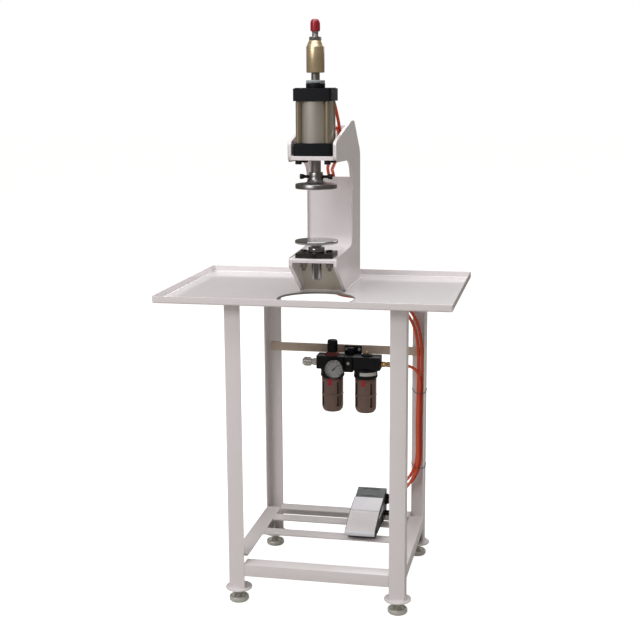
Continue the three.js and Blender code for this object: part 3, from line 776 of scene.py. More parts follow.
# ---------------------------------------------------------------- tray
def build_tray():
    tray = Span("table_tray")
    sheet = 2.5
    bend = 4.0
    half = Vector((tray.high.x, tray.high.y))
    low, top = tray.low.z, tray.high.z
    bm = bmesh.new()

    def rim(inset, height):
        """A rectangle drawn in from the tray's edge, its corners welded up with a small radius."""
        corner = max(1.0, 3.2 - inset)
        return [(p.x, p.y, height) for p in rounded([
            (-half.x + inset, -half.y + inset, corner), (half.x - inset, -half.y + inset, corner),
            (half.x - inset, half.y - inset, corner), (-half.x + inset, half.y - inset, corner)], 3)]

    def arc(radius, centre_inset, centre_height, start, stop):
        return [rim(centre_inset - radius * math.cos(math.radians(a)),
                    centre_height - radius * math.sin(math.radians(a)))
                for a in (start, (2 * start + stop) / 3, (start + 2 * stop) / 3, stop)]

    loops = [rim(9, low), *arc(bend, bend, low + bend, 90, 0)]
    loops += [rim(0, top - 0.8), rim(0.25, top - 0.2), rim(0.8, top), rim(sheet - 0.8, top),
              rim(sheet - 0.25, top - 0.2),
              rim(sheet, top - 0.8)]
    loops += [*arc(bend - sheet, bend, low + bend, 0, 90), rim(9, low + sheet)]
    rings = [[bm.verts.new(p) for p in loop] for loop in loops]
    for near, far in zip(rings, rings[1:]):
        bridge(bm, near, far)
    mouth = (18, -145)
    mouth_r = 97
    slot = (-12, 36, 108, 142)
    walls = []
    for ring, height in ((rings[0], low), (rings[-1], low + sheet)):
        edges = edges_of(bm, ring)
        openings = []
        for points in (circle(*mouth, mouth_r, 96), rectangle(*slot, 6)):
            verts, made = loop_of(bm, points, lambda a, b, d=height: Vector((a, b, d)))
            openings.append(verts)
            edges += made
        bmesh.ops.triangle_fill(bm, use_beauty=True, edges=edges)
        walls.append(openings)
    for near, far in zip(*walls):
        bridge(bm, near, far)
    made = piece("tray", bm, "tray_gloss", replaced=["table_tray"])
    made.modifiers.new("even", "WEIGHTED_NORMAL").keep_sharp = True

    # painted shade: a dark ring wrapped round the mouth's cut edge, where that edge lies in shadow
    edge = bmesh.new()
    profile = [(mouth_r + 0.05, low - 0.9), (mouth_r + 0.05, low + sheet + 0.9),
               (mouth_r - 1.2, low + sheet + 1.3),
               (mouth_r - 2.4, low + sheet * 0.5), (mouth_r - 1.2, low - 1.3)]
    turn(edge, profile, (*mouth, 0), segments=96, closed=True)
    piece("mouth_edge", edge, "mouth_shade")

    guard = bmesh.new()
    inner_edge = rectangle(slot[0] + 1.5, slot[1] - 1.5, slot[2] + 1.5, slot[3] - 1.5, 5)
    pierced(guard, rectangle(slot[0] - 2, slot[1] + 2, slot[2] - 2, slot[3] + 2, 7), [inner_edge], "XY",
            low + sheet + 0.05, low + sheet + 2)
    pierced(guard, rectangle(*slot, 6), [inner_edge], "XY", low - 1, low + sheet + 1)
    pierced(guard, rectangle(slot[0] - 2, slot[1] + 2, slot[2] - 2, slot[3] + 2, 7), [inner_edge], "XY",
            low - 2, low - 0.05)
    piece("hose_grommet", guard, "foot_rubber", bevel=0.5)


# ---------------------------------------------------------------- stand
CORNERS = {"front_left": (1, 1), "front_right": (-1, 1), "rear_left": (1, -1), "rear_right": (-1, -1)}
LEG_WIDTH = 40
WALL = 4


def leg_corner(tag):
    """The outer corner of a leg's angle and the middle of its foot."""
    dx, dy = CORNERS[tag]
    middle = Span(f"levelling_foot_{tag}").mid
    return middle.x - dx * LEG_WIDTH / 2, middle.y - dy * LEG_WIDTH / 2, middle


def build_stand():
    runs = []
    for tag, (dx, dy) in CORNERS.items():
        leg = Span(f"leg_{tag}")
        plate_top = leg.low.z + 4
        x, y, middle = leg_corner(tag)
        bm = bmesh.new()
        prism(bm, angle_section(x, y, dx, dy, LEG_WIDTH, LEG_WIDTH, WALL), "XY", plate_top, leg.high.z)
        hole = 6.5
        turn(bm, [(hole, leg.low.z), (33.2, leg.low.z), (34, leg.low.z + 0.8), (34, plate_top - 0.5),
                  (33.2, plate_top + 0.3), (hole, plate_top + 0.3)], (middle.x, middle.y, 0), closed=True,
             segments=56)
        piece(f"stand_leg_{tag}", bm, "powder_coat", replaced=[f"leg_{tag}"], sharp=32)
        for height in (plate_top + 0.6, leg.high.z - 0.8):
            runs += [((x + dx * WALL, y + dy * WALL, height),
                      (x + dx * (LEG_WIDTH - 3), y + dy * WALL, height)),
                     ((x + dx * WALL, y + dy * WALL, height),
                      (x + dx * WALL, y + dy * (LEG_WIDTH - 3), height))]
        runs += [((x, y - dy * 0.3, plate_top + 0.6), (x + dx * 26, y - dy * 0.3, plate_top + 0.6)),
                 ((x - dx * 0.3, y, plate_top + 0.6), (x - dx * 0.3, y + dy * 26, plate_top + 0.6))]

        foot = bmesh.new()
        stud = 5.9
        top = Span(f"levelling_foot_{tag}").high.z
        turn(foot, soften([(0, 0), (22, 0), (25, 3.5), (25, 10.4), (23.6, 12.6), (21, 13), (18, 10.6),
                           (12, 9.6)], 0.7)
             + [(0, 9.6)], (middle.x, middle.y, 0), segments=64)
        piece(f"foot_{tag}", foot, "pad_alloy", body=f"foot_{tag}",
              replaced=[f"levelling_foot_{tag}"])
        post = bmesh.new()
        turn(post, [(0, 9.2), (13, 9.2), (12.4, 12), (9.4, 14), (9, 17), (9, 17.2, 7.9, 6), (9, 25, 7.9, 6),
                    (stud, 25.6)]
             + thread(stud, 25.8, top - 1) + [(4.4, top), (0, top)], (middle.x, middle.y, 0), segments=48)
        hex_nut(post, (middle.x, middle.y, plate_top + 0.6), "+Z", 17.0, 8, 5.4)
        piece(f"foot_{tag}_stud", post, "dull_zinc", body=f"foot_{tag}")

    for tag, plane, sign in (("front", "YZ", 1), ("rear", "YZ", -1), ("left", "XZ", 1),
                             ("right", "XZ", -1)):
        rail = Span(f"rail_{tag}")
        along = "x" if plane == "YZ" else "y"
        across = "y" if plane == "YZ" else "x"
        outer = getattr(rail.low if sign > 0 else rail.high, across)
        bm = bmesh.new()
        section = angle_section(outer, rail.high.z, sign, -1, getattr(rail.size, across), rail.size.z, WALL)
        prism(bm, section, plane, getattr(rail.low, along), getattr(rail.high, along))
        piece(f"stand_rail_{tag}", bm, "powder_coat", replaced=[f"rail_{tag}"], sharp=32)
        for end in (getattr(rail.low, along), getattr(rail.high, along)):
            face = outer + sign * WALL + sign * 0.4
            if plane == "YZ":
                runs += [((end, face, rail.low.z + 4), (end, face, rail.high.z - WALL)),
                         ((end, face, rail.high.z + 0.2), (end, outer + sign * 36, rail.high.z + 0.2))]
            else:
                runs += [((face, end, rail.low.z + 4), (face, end, rail.high.z - WALL)),
                         ((face, end, rail.high.z + 0.2), (outer + sign * 36, end, rail.high.z + 0.2))]

    for node in ("pedal_bar_front", "pedal_bar_rear", "air_unit_bar"):
        bar = Span(node)
        bm = bmesh.new()
        block(bm, bar.low, bar.high)
        # the air unit's bar takes the copy of the paint darkened with painted shade
        coat = "painted_shade_bar_coat" if node == "air_unit_bar" else "powder_coat"
        piece(f"flat_{node}", bm, coat, replaced=[node], bevel=0.6)
    welded("stand_welds", runs, 7)


# ---------------------------------------------------------------- press frame
WEB_RISE = 186        # from the lower jaw's platform to the top of the column's web
WEB_WALL = 10


def build_frame():
    plate, web, bracket = Span("side_plate_left"), Span("column_web"), Span("cylinder_bracket")
    base, nose, back = plate.low.z, plate.low.y, plate.high.y
    platform = web.high.z - WEB_RISE
    face = web.high.y - WEB_WALL
    under = bracket.low.z
    fold = sizes().fold_radius / MM
    cut = sizes().plate_edge / MM
    cheek = [
        (-21, base), (nose, 866, 3), (nose, platform, 4), (face, platform, 38), (face, 1066, 14),
        (64, 1101, 16), (15, under, 16), (nose, under, 12), (nose, 1168, 8), (62, 1213, 6),
        (100, 1213, 6), (back, 1130, 18), (back, base)]
    outline = rounded(cheek, 7)

    def edge_radius(point):
        """The fold runs round the throat and dies out at the two ends of the nose."""
        in_throat = platform - 0.5 < point.y < under + 0.5 and point.x < face + 1
        if not in_throat:
            return cut
        return cut + (fold - cut) * min(1, max(0, (point.x - nose - 3) / 16))

    radii = [edge_radius(p) for p in outline]
    inward = []
    for k, here in enumerate(outline):
        along = ((here - outline[k - 1]).normalized() + (outline[(k + 1) % len(outline)] - here).normalized())
        inward.append(Vector((-along.y, along.x)).normalized())
    for side in ("left", "right"):
        span = Span(f"side_plate_{side}")
        outside, out = (span.low.x, 1) if side == "left" else (span.high.x, -1)
        thickness = span.size.x
        bm = bmesh.new()
        layers = []
        steps = [fold * (1 - math.cos(math.radians(a))) for a in (0, 15, 30, 45, 60, 75, 90)]
        for depth in [*steps[:-1], thickness - cut * 0.5, thickness]:
            ring = []
            for p, r, n in zip(outline, radii, inward):
                drop = r - math.sqrt(max(0, r * r - max(0, r - depth) ** 2))
                if depth == thickness and r == cut:
                    drop = cut * 0.5
                spot = p + n * drop
                ring.append(bm.verts.new((outside + out * depth, spot.x, spot.y)))
            layers.append(ring)
        for near, far in zip(layers, layers[1:]):
            bridge(bm, near, far)
        for ring in (layers[0], layers[-1]):
            edges = edges_of(bm, ring)
            bmesh.ops.triangle_fill(bm, use_beauty=True, edges=edges)
        made = piece(f"frame_side_{side}", bm, "powder_coat",
                     replaced=[f"side_plate_{side}"], sharp=60)
        made.modifiers.new("even", "WEIGHTED_NORMAL").keep_sharp = True

    left, right = Span("side_plate_left").high.x - 0.05, Span("side_plate_right").low.x + 0.05
    bm = bmesh.new()
    folded_web = rounded([
        (nose, platform - WEB_WALL, 2), (nose, platform, 3), (face, platform, 38), (face, web.high.z, 1.5),
        (face + WEB_WALL, web.high.z, 1.5), (face + WEB_WALL, platform - WEB_WALL, 48)], 9)
    prism(bm, folded_web, "YZ", left, right)
    piece("frame_web", bm, "powder_coat", replaced=["column_web"], sharp=50)

    bm = bmesh.new()
    prism(bm, rounded([(-20, base, 1), (-66, web.low.z - 0.3, 1), (-57, web.low.z - 0.3, 1),
                       (-15.5, base + 10, 14),
                       (100, base + 10, 1.5), (100, base, 1.5)], 5), "YZ", left, right)
    # the brace takes the powder coat darkened with painted shade, as it sits in the jaw's shadow
    piece("frame_brace", bm, "painted_shade_coat", replaced=["jaw_brace"], sharp=50)

    rod = Span("ram_rod").mid
    tie = [Span(f"tie_rod_{k}").mid for k in (1, 2, 3, 4)]
    bm = bmesh.new()
    holes = [circle(rod.x, rod.y, 14), *[circle(t.x, t.y, 5.6, 20) for t in tie],
             rectangle(-22, 58, 5, 80, 6)]
    pierced(bm, rectangle(left, right, nose, bracket.high.y - 0.1), holes, "XY", under, under + 10)
    piece("frame_bracket_floor", bm, "powder_coat", replaced=["cylinder_bracket"], bevel=1.0)
    bm = bmesh.new()
    prism(bm, rounded([(85, under + 9), (85, bracket.high.z, 2), (95, bracket.high.z, 2),
                       (95, under + 0.2, 6)]),
          "YZ", left, right)
    piece("frame_bracket_back", bm, "powder_coat", sharp=50)

    runs = []
    for x, out in ((plate.low.x, -1), (Span("side_plate_right").high.x, 1)):
        runs.append(((x + out * 0.4, -20, base + 0.8), (x + out * 0.4, back, base + 0.8)))
    for x in (left + 0.4, right - 0.4):
        runs += [((x, face + 10.4, 900), (x, face + 10.4, web.high.z - 4)),
                 ((x, -23, base + 6), (x, -66, web.low.z - 4)),
                 ((x, 84.6, under + 12), (x, 84.6, bracket.high.z - 4)),
                 ((x, nose + 6, under + 10.2), (x, 84, under + 10.2)),
                 ((x, nose + 8, platform - 10.2), (x, -68, platform - 10.2))]
    tack = (left, back, base)
    runs += [((left, -20.5, base + 0.8), (right, -20.5, base + 0.8)), (tack, (tack[0] + 0.1, *tack[1:]))]
    welded("frame_welds", runs, 11)


# ---------------------------------------------------------------- air cylinder
def build_cylinder():
    rod = Span("ram_rod").mid
    top = Span("cylinder_head_top")
    bottom = Span("cylinder_head_bottom")
    tube = Span("cylinder_tube")
    tie = [Span(f"tie_rod_{k}").mid for k in (1, 2, 3, 4)]
    crown = top.high.z - 12.5
    square = rectangle(bottom.low.x, bottom.high.x, bottom.low.y, bottom.high.y, 6.5)
    bm = bmesh.new()
    pierced(bm, square, [circle(rod.x, rod.y, 12.7)], "XY", bottom.low.z, bottom.high.z)
    piece("lower_head", bm, "black_paint", replaced=["cylinder_head_bottom"], bevel=1.5,
          segments=3)
    bm = bmesh.new()
    pierced(bm, square, [circle(rod.x, rod.y, 11.2)], "XY", top.low.z, crown)
    turn(bm, soften([(11.2, crown - 0.2), (23.5, crown - 0.2), (23.5, top.high.z), (11.2, top.high.z)],
                    0.8),
         (rod.x, rod.y, 0), closed=True)
    piece("upper_head", bm, "black_paint", replaced=["cylinder_head_top"], bevel=1.5,
          segments=3)

    bm = bmesh.new()
    turn(bm, [(40, tube.low.z), (43, tube.low.z), (43, tube.high.z), (40, tube.high.z)], (rod.x, rod.y, 0),
         segments=96,
         closed=True)
    piece("barrel", bm, "barrel_alloy", replaced=["cylinder_tube"])
    low, high = 1238, 1262
    bm = bmesh.new()
    turn(bm, [(10.7, low), (38.8, low), (39.6, low + 1), (39.6, low + 8), (37, low + 9), (37, high - 9),
              (39.6, high - 8), (39.6, high - 1), (38.8, high), (10.7, high)], (rod.x, rod.y, 0),
         closed=True)
    piece("piston_disc", bm, "barrel_alloy", body="ram", replaced=["piston"])

    bm = bmesh.new()
    turn(bm, [(0, tube.low.z - 4), (5, tube.low.z - 4), (5, tube.low.z + 0.4), (6, tube.low.z + 1),
              (6, tube.high.z - 1),
              (5, tube.high.z - 0.4), (5, tube.high.z + 6), (0, tube.high.z + 6)], (0, 0, 0), segments=28)
    spots = [(t.x, t.y, 0) for t in tie]
    copied("tie_bars", bm, spots, "tie_steel", replaced=[f"tie_rod_{k}" for k in (1, 2, 3, 4)])
    bm = bmesh.new()
    cap_screw(bm, (0, 0, 1124.7), "-Z", 8, 9.7, 5, 12, tip=False)
    copied("head_screws", bm, spots, "black_oxide")
    bm = bmesh.new()
    turn(bm, soften([(0, crown), (7.4, crown), (7.4, crown + 1.4), (3.9, crown + 1.4)], 0.4)
         + [(99, crown + 1.3, 3.4, 6), (99, crown + 0.3, 3.4, 6), (0, crown + 0.3)], (0, 0, 0), segments=36)
    copied("tie_nuts", bm, spots, "black_oxide")

    bm = bmesh.new()
    low, high = Span("damper_washer").low.z, Span("damper_washer").high.z
    turn(bm, soften([(10.9, low), (22.4, low), (23, low + 1), (23, high - 1.2), (22, high), (10.9, high)],
                    0.4),
         (rod.x, rod.y, 0), closed=True)
    piece("bumper", bm, "damper_rubber", replaced=["damper_washer"])

    bm = bmesh.new()
    for x, z in ((36, 1281), (24, 1150)):
        port_fitting(bm, (x, bottom.high.y, z), "+Y")
    piece("port_fittings", bm, "black_nylon")


def port_fitting(bm, centre, axis, body=7.2):
    """A push-in fitting for an air hose: hexagon, body and release ring."""
    hose = sizes().hose_radius / MM
    end = 5.8 + body
    turn(bm, [(hose + 0.1, 0.1), (8, 0.1), (8, 0.2, 7, 6), (8.2, 1, 7, 6), (8.2, 5, 7, 6), (7, 5.6, 7, 6),
              (6.8, 5.8),
              (6.8, end), (6.2, end + 0.8), (5.2, end + 0.8), (5.2, end + 2.2), (6.1, end + 2.2),
              (6.1, end + 3.6), (hose + 0.1, end + 3.6)],
         centre, axis, 36, closed=True)


# ---------------------------------------------------------------- ram and upper die
def build_ram():
    rod = Span("ram_rod")
    centre = (rod.mid.x, rod.mid.y, 0)
    bm = bmesh.new()
    turn(bm, [(0, rod.low.z), (11, rod.low.z), (12, rod.low.z + 1), (12, 1237.7), (10.4, 1237.7),
              (10.4, 1333.3)]
         + thread(8, 1333.3, rod.high.z - 1) + [(7, rod.high.z), (0, rod.high.z)], centre, segments=48)
    piece("ram_shaft", bm, "ground_steel", body="ram", replaced=["ram_rod"])

    cap = Span("rod_cap")
    low, high = cap.low.z, cap.high.z
    bm = bmesh.new()
    turn(bm, [(8.3, low), (10.8, low), (11.4, low + 0.8), (11.5, low + 2), (11.5, low + 20),
              (11, low + 23.5),
              (9.6, low + 26.4), (7, low + 28.4), (3.6, low + 29.2), (0, high), (0, 1445.6), (8.3, 1445.6),
              (8.3, low)],
         centre, segments=48)
    piece("red_cap", bm, "cap_red", body="ram", replaced=["rod_cap"])
    ring_of_bars("red_cap_ribs", 16, 11.2, (1.1, 2.2, 17), (centre[0], centre[1], low + 11), (0, 0, 0),
                 "cap_red",
                 body="ram")

    sleeve = Span("stroke_sleeve")
    low = sleeve.low.z
    bm = bmesh.new()
    turn(bm, [(8.35, low), (20.4, low), (21.6, low + 0.8), (22, low + 1.6), (22, 1394.5), (21.6, 1395.6),
              (20.8, 1396.6),
              (17.6, 1404.9), (17, 1406), (16.2, 1407.2), (15.2, 1409.7),
              (8.35, 1409.7)], centre, segments=96, closed=True)
    piece("gold_sleeve", bm, "yellow_zinc", body="stroke_sleeve", replaced=["stroke_sleeve"])
    bm = bmesh.new()
    nut = Span("jam_nut")
    hex_nut(bm, (centre[0], centre[1], nut.low.z), "+Z", 27.2, nut.size.z, 8.35)
    piece("lock_nut", bm, "ground_steel", body="jam_nut", replaced=["jam_nut"])

    die = Span("upper_die_holder")
    face = die.low.z
    screw_height = 1083
    bm = bmesh.new()
    flare = [(51.5, face + 10.3), (50.6, face + 11.6), (48, face + 12.2), (32, face + 13.2),
             (26, face + 14.8),
             (22, face + 17.6), (19.4, face + 21.6), (17.8, face + 26), (17.2, face + 30), (17, 1092.4),
             (16, 1094),
             (12.3, 1094), (12.3, 1072), (0, 1072)]
    turn(bm, [(0, face + 0.8), (18, face + 0.8), (18.6, face), (50.6, face), (51.5, face + 1)] + flare,
         centre,
         segments=96)
    piece("upper_die", bm, "die_steel", body="ram", replaced=["upper_die_holder"])
    shade_spot_ring("upper_die_spots", die.mid, 51.35, face + 5.8, "ram")
    for tag, axis, reach in (("left", "-X", -34), ("right", "+X", 34)):
        spot = (centre[0] + reach, centre[1], screw_height)
        bm = bmesh.new()
        cap_screw(bm, spot, axis, 6.5, 6.4, 4, 21)
        flange = soften([(4.1, -4), (5.6, -4), (6.2, -2.6), (5.2, -1.4), (5, -0.4), (6.5, 0)], 0.3)
        turn(bm, flange + [(4.1, 0)], spot, axis, 36, closed=True)
        piece(f"clamp_screw_{tag}", bm, "black_oxide", body=f"die_clamp_{tag}",
              replaced=[f"die_clamp_screw_{tag}"])


def shade_spot_ring(name, mid, radius, height, body):
    """Shallow dark pockets in a disc's rim, for the key that turns it."""
    bm = bmesh.new()
    for k in range(8):
        angle = 2 * math.pi * (k + 0.35) / 8
        out = Vector((math.cos(angle), math.sin(angle), 0))
        spin = out.to_track_quat("Z", "Y").to_matrix()
        rings = []
        for r, h in ((2.7, -1.4), (2.7, 0.12), (2.2, 0.2), (2.0, -0.1)):
            rings.append([bm.verts.new(Vector((mid.x, mid.y, height)) + out * radius + spin @ Vector(
                (r * math.cos(a), r * math.sin(a), h))) for a in [2 * math.pi * j / 20 for j in range(20)]])
        for near, far in zip(rings, rings[1:]):
            bridge(bm, near, far)
        bm.faces.new(rings[-1])
        bm.faces.new(list(reversed(rings[0])))
    # dark steel as painted shade in the shallow pockets
    piece(name, bm, "oiled_steel", body=body)


# ---------------------------------------------------------------- lower die and its block
def build_lower_die():
    die = Span("lower_die")
    centre = (die.mid.x, die.mid.y, 0)
    face = die.high.z
    seat = Span("die_block").high.z + 0.3
    bm = bmesh.new()
    turn(bm, [(0, die.low.z), (9.5, die.low.z), (12.5, die.low.z + 3), (12.5, seat), (19.8, seat),
              (20.5, seat + 0.8),
              (20.5, seat + 10.4), (19, seat + 12.5), (15, seat + 13), (12.6, seat + 14), (12.5, face - 11),
              (15, face - 8.6), (50, face - 8), (52.8, face - 7.4), (53.5, face - 6.4), (53.5, face - 0.8),
              (52.7, face), (7.2, face), (6.6, face - 0.8), (6.6, face - 5), (0, face - 5)], centre,
         segments=96)
    piece("lower_die_disc", bm, "mirror_steel", body="lower_die", replaced=["lower_die"])
    shade_spot_ring("lower_die_spots", die.mid, 53.35, face - 3.9, "lower_die")

    rest = Span("die_block")
    bm = bmesh.new()
    bolts = [Span(f"block_bolt_{tag}").mid for tag in ("left", "right")]
    pierced(bm, rectangle(rest.low.x, rest.high.x, rest.low.y, rest.high.y, 1.5),
            [circle(die.mid.x, die.mid.y, 13.1), *[circle(b.x, b.y, 5.5, 28) for b in bolts]], "XY",
            rest.low.z,
            rest.high.z)
    piece("die_rest", bm, "oiled_steel", replaced=["die_block"], bevel=0.8)

    for tag, middle in zip(("left", "right"), bolts):
        bolt = Span(f"block_bolt_{tag}")
        top = rest.high.z + 0.3
        bm = bmesh.new()
        cap_screw(bm, (middle.x, middle.y, top), "+Z", 8, 4.7, 5, 12, tip=False)
        piece(f"rest_bolt_{tag}", bm, "black_oxide", replaced=[f"block_bolt_{tag}"])
        bm = bmesh.new()
        turn(bm, [(0, bolt.low.z), (4, bolt.low.z)] + thread(5, bolt.low.z + 0.8, 857) + [(5, 874),
                                                                                          (0, 874)],
             (middle.x, middle.y, 0), segments=32)
        hex_nut(bm, (middle.x, middle.y, 857.5), "+Z", 16, 7.9, 4.6)
        turn(bm, [(4.6, 866), (9.6, 866), (10, 866.4), (10, 873.3), (9.6, 873.6), (4.6, 873.6)],
             (middle.x, middle.y, 0),
             closed=True, segments=40)
        piece(f"rest_nut_{tag}", bm, "ground_steel")
        ring = bmesh.new()
        turn(ring, soften([(5.1, top - 0.25), (9.8, top - 0.25), (10, top + 0.5), (8.1, top + 0.9),
                           (8.1, top + 0.2)], 0.2),
             (middle.x, middle.y, 0), closed=True, segments=48)
        piece(f"rest_washer_{tag}", ring, "dull_zinc")
    screw = Span("block_set_screw")
    bm = bmesh.new()
    cap_screw(bm, (screw.mid.x, screw.low.y + 4, screw.mid.z), "-Y", 5, 4, 3, 22)
    piece("set_screw_head", bm, "black_oxide", body="set_screw",
          replaced=["block_set_screw"])


# ---------------------------------------------------------------- filter, regulator and lubricator
def rounded_block(bm, low, high, r=4.0):
    """A block with its upright corners rounded; its other edges are left for a bevel."""
    pierced(bm, rectangle(low[0], high[0], low[1], high[1], r), [], "XY", low[2], high[2])


def collar(bm, x, y, low, high):
    """The bowl's locking collar: a band with a foot ring and a step under the body."""
    turn(bm, [(0, low), (29.5, low), (30.6, low + 0.6), (33, low + 4), (33, low + 8), (32.3, low + 8.8),
              (32.3, low + 21), (33, low + 22), (33, high - 2), (31.5, high), (0, high)], (x, y, 0),
         segments=72)


def build_air_unit():
    bracket = Span("unit_bracket")
    reg, lub = Span("regulator_body"), Span("lubricator_body")
    reg_x, lub_x = Span("filter_bowl").mid.x, Span("lubricator_bowl").mid.x
    y = Span("filter_bowl").mid.y
    collar_low, body_low, body_top = reg.low.z, 538, 574
    front, rear = y - 24, y + 24

    bm = bmesh.new()
    rounded_block(bm, (33, y - 18, 530), (57, y + 20, 572), 3)
    rounded_block(bm, (36, y + 18, 548), (54, bracket.high.y - 1, 590), 1)
    block(bm, (bracket.low.x, bracket.high.y - 4, 566), (bracket.high.x, bracket.high.y, bracket.high.z))
    block(bm, (36.5, y - 19.2, 535), (53.5, y - 17.5, 541))
    block(bm, (36.5, y - 19.2, 561), (53.5, y - 17.5, 567))
    piece("tee_bracket", bm, "black_nylon", replaced=["unit_bracket"], bevel=1.0)
    bm = bmesh.new()
    cap_screw(bm, (0, 0, 0), "-Y", 4.2, 3.2, 2.5, 3.6)
    copied("bracket_screws", bm, [(x, bracket.high.y - 4, 584) for x in (31, 67)] + [(45, y - 18, 555)],
           "dull_zinc")

    bm = bmesh.new()
    rounded_block(bm, (reg.low.x, front, body_low), (32.7, rear, body_top), 6)
    rounded_block(bm, (reg_x - 30, front - 0.2, body_low + 4), (30, rear + 0.4, body_top - 4), 3)
    piece("regulator_block", bm, "black_nylon", replaced=["regulator_body"], bevel=1.6,
          segments=3)
    bm = bmesh.new()
    collar(bm, reg_x, y, collar_low, body_low + 1)
    trimmed(bm, (0, front, 0), (0, -1, 0))
    piece("regulator_collar", bm, "black_nylon")
    bm = bmesh.new()
    turn(bm, [(13, body_top - 0.5), (22, body_top - 0.5), (22, body_top), (21.2, body_top + 2), (18.6, 579),
              (16.4, 582), (15.2, 583.1), (13, 583.1)], (reg_x, y, 0), closed=True)
    piece("red_bonnet", bm, "bonnet_red")

    knob = Span("regulator_knob")
    bm = bmesh.new()
    low = knob.low.z
    turn(bm, [(0, low), (13.6, low), (14.1, low + 0.6), (14.1, low + 5), (13.3, low + 6), (13.3, low + 24),
              (14, low + 25), (14.3, low + 28), (13, low + 31.4), (11, low + 33), (8, low + 33.4),
              (7.4, low + 32.9),
              (0, low + 32.9)], (reg_x, y, 0), segments=60)
    piece("pressure_knob", bm, "black_nylon", body="regulator_knob",
          replaced=["regulator_knob"])
    ring_of_bars("pressure_knob_grip", sizes().knob_ribs, 13.4, (1.8, 1.3, 17.5), (reg_x, y, low + 15.2),
                 (0, 0, 0),
                 "black_nylon", body="regulator_knob")

    dome = Span("lubricator_screw").mid
    bm = bmesh.new()
    rounded_block(bm, (57.3, front, body_low), (lub.high.x, rear, body_top), 6)
    rounded_block(bm, (lub_x - 28, front - 0.8, body_low + 4), (lub_x + 30, rear + 0.8, body_top - 4), 3)
    collar(bm, lub_x, y, collar_low, body_low + 1)
    turn(bm, soften([(0, body_top - 1), (16, body_top - 1), (16, body_top + 2.2), (12, 580), (8, 581),
                     (0, 581)], 0.8),
         (dome.x, dome.y, 0))
    piece("lubricator_block", bm, "black_nylon", replaced=["lubricator_body"], bevel=1.6,
          segments=3)
    bm = bmesh.new()
    label_r, first, sweep, steps = 33.15, -111, 90, 12
    label = []
    for k in range(steps + 1):
        angle = math.radians(first + sweep * k / steps)
        label.append((lub_x + label_r * math.cos(angle), y + label_r * math.sin(angle)))
    back = [(lub_x + (a - lub_x) * 0.985, y + (b - y) * 0.985) for a, b in reversed(label)]
    prism(bm, label + back, "XY", 523.4, 532.8)
    piece("blank_label", bm, "blank_label")
    bm = bmesh.new()
    low = Span("lubricator_screw").low.z
    turn(bm, [(0, low), (5, low), (5, low + 3.4), (4.4, low + 4.4), (3.8, low + 5.5), (0.8, low + 5.5),
              (0.6, low + 4),
              (0, low + 4)], (dome.x, dome.y, 0), segments=40)
    block(bm, (dome.x - 4.2, dome.y - 0.45, low + 4.6), (dome.x + 4.2, dome.y + 0.45, low + 5.6))
    piece("drip_screw", bm, "brass", body="lubricator_screw", replaced=["lubricator_screw"])

    bowl_guard("filter", reg_x, y)
    bowl_guard("lubricator", lub_x, y)
    gauge(front)
    couplings(y)


def bowl_guard(tag, x, y):
    """A slotted guard over a smoked bowl, with its red latch and drain."""
    node = f"{tag}_bowl"
    low, high = Span(node).low.z, Span(node).high.z
    segments = 90
    heights = [low + 0.2, low + 0.9, low + 3, low + 8, low + 13, low + 18, low + 20, low + 48, low + 50.2,
               low + 50.8,
               low + 53.2, low + 53.8, low + 56, low + 88, low + 91, high - 0.2]
    radii = [10, 16, 23.4, 27.4, 29.2, 29.8, 29.8, 29.8, 29.8, 30.5, 30.5, 29.8, 29.8, 29.8, 29.8, 29.8]
    bm = bmesh.new()
    turn(bm, list(zip(radii, heights)), (x, y, 0), segments=segments)
    open_rows = [(heights[6], heights[7]), (heights[12], heights[13])]
    slots = []
    for face in bm.faces:
        middle = face.calc_center_median()
        angle = math.degrees(math.atan2(middle.y - y, middle.x - x)) % 90
        if 33 < angle < 47 and any(a < middle.z < b for a, b in open_rows):
            slots.append(face)
    bmesh.ops.delete(bm, geom=slots, context="FACES")
    made = piece(f"{tag}_guard", bm, "smoked_guard", replaced=[node])
    wall = made.modifiers.new("wall", "SOLIDIFY")
    wall.thickness = 1.8 * MM
    wall.offset = -1

    bm = bmesh.new()
    turn(bm, [(0, low + 3), (9, low + 3), (18, low + 5.5), (24, low + 10), (26.4, low + 16),
              (26.8, low + 24),
              (26.8, high - 1), (0, high - 1)], (x, y, 0), segments=56)
    piece(f"{tag}_bowl_inside", bm, "bowl_dark")
    bm = bmesh.new()
    turn(bm, [(0, low), (4.4, low), (5.4, low + 0.8), (5.4, low + 3), (9.9, low + 3.2), (9.9, low + 1.4),
              (11.8, low + 0.1), (12.6, low + 1.4), (12.6, low + 4), (0, low + 4)], (x, y, 0), segments=40)
    piece(f"{tag}_drain", bm, "black_nylon")

    bm = bmesh.new()
    for k in range(2):
        width, depth = (5.4, 1.6) if k == 0 else (4.0, 2.3)
        edges = [(x - 2 - width, high - 20 + k * 1.5), (x - 2 + width, high - 20 + k * 1.5),
                 (x - 2 + width, high - 1 - k * 1.5), (x - 2 - width, high - 1 - k * 1.5)]
        prism(bm, rounded([(*e, 1.2) for e in edges], 3), "XZ", y - 28.8 - depth, y - 27)
    piece(f"{tag}_latch", bm, "lock_red", bevel=0.4)


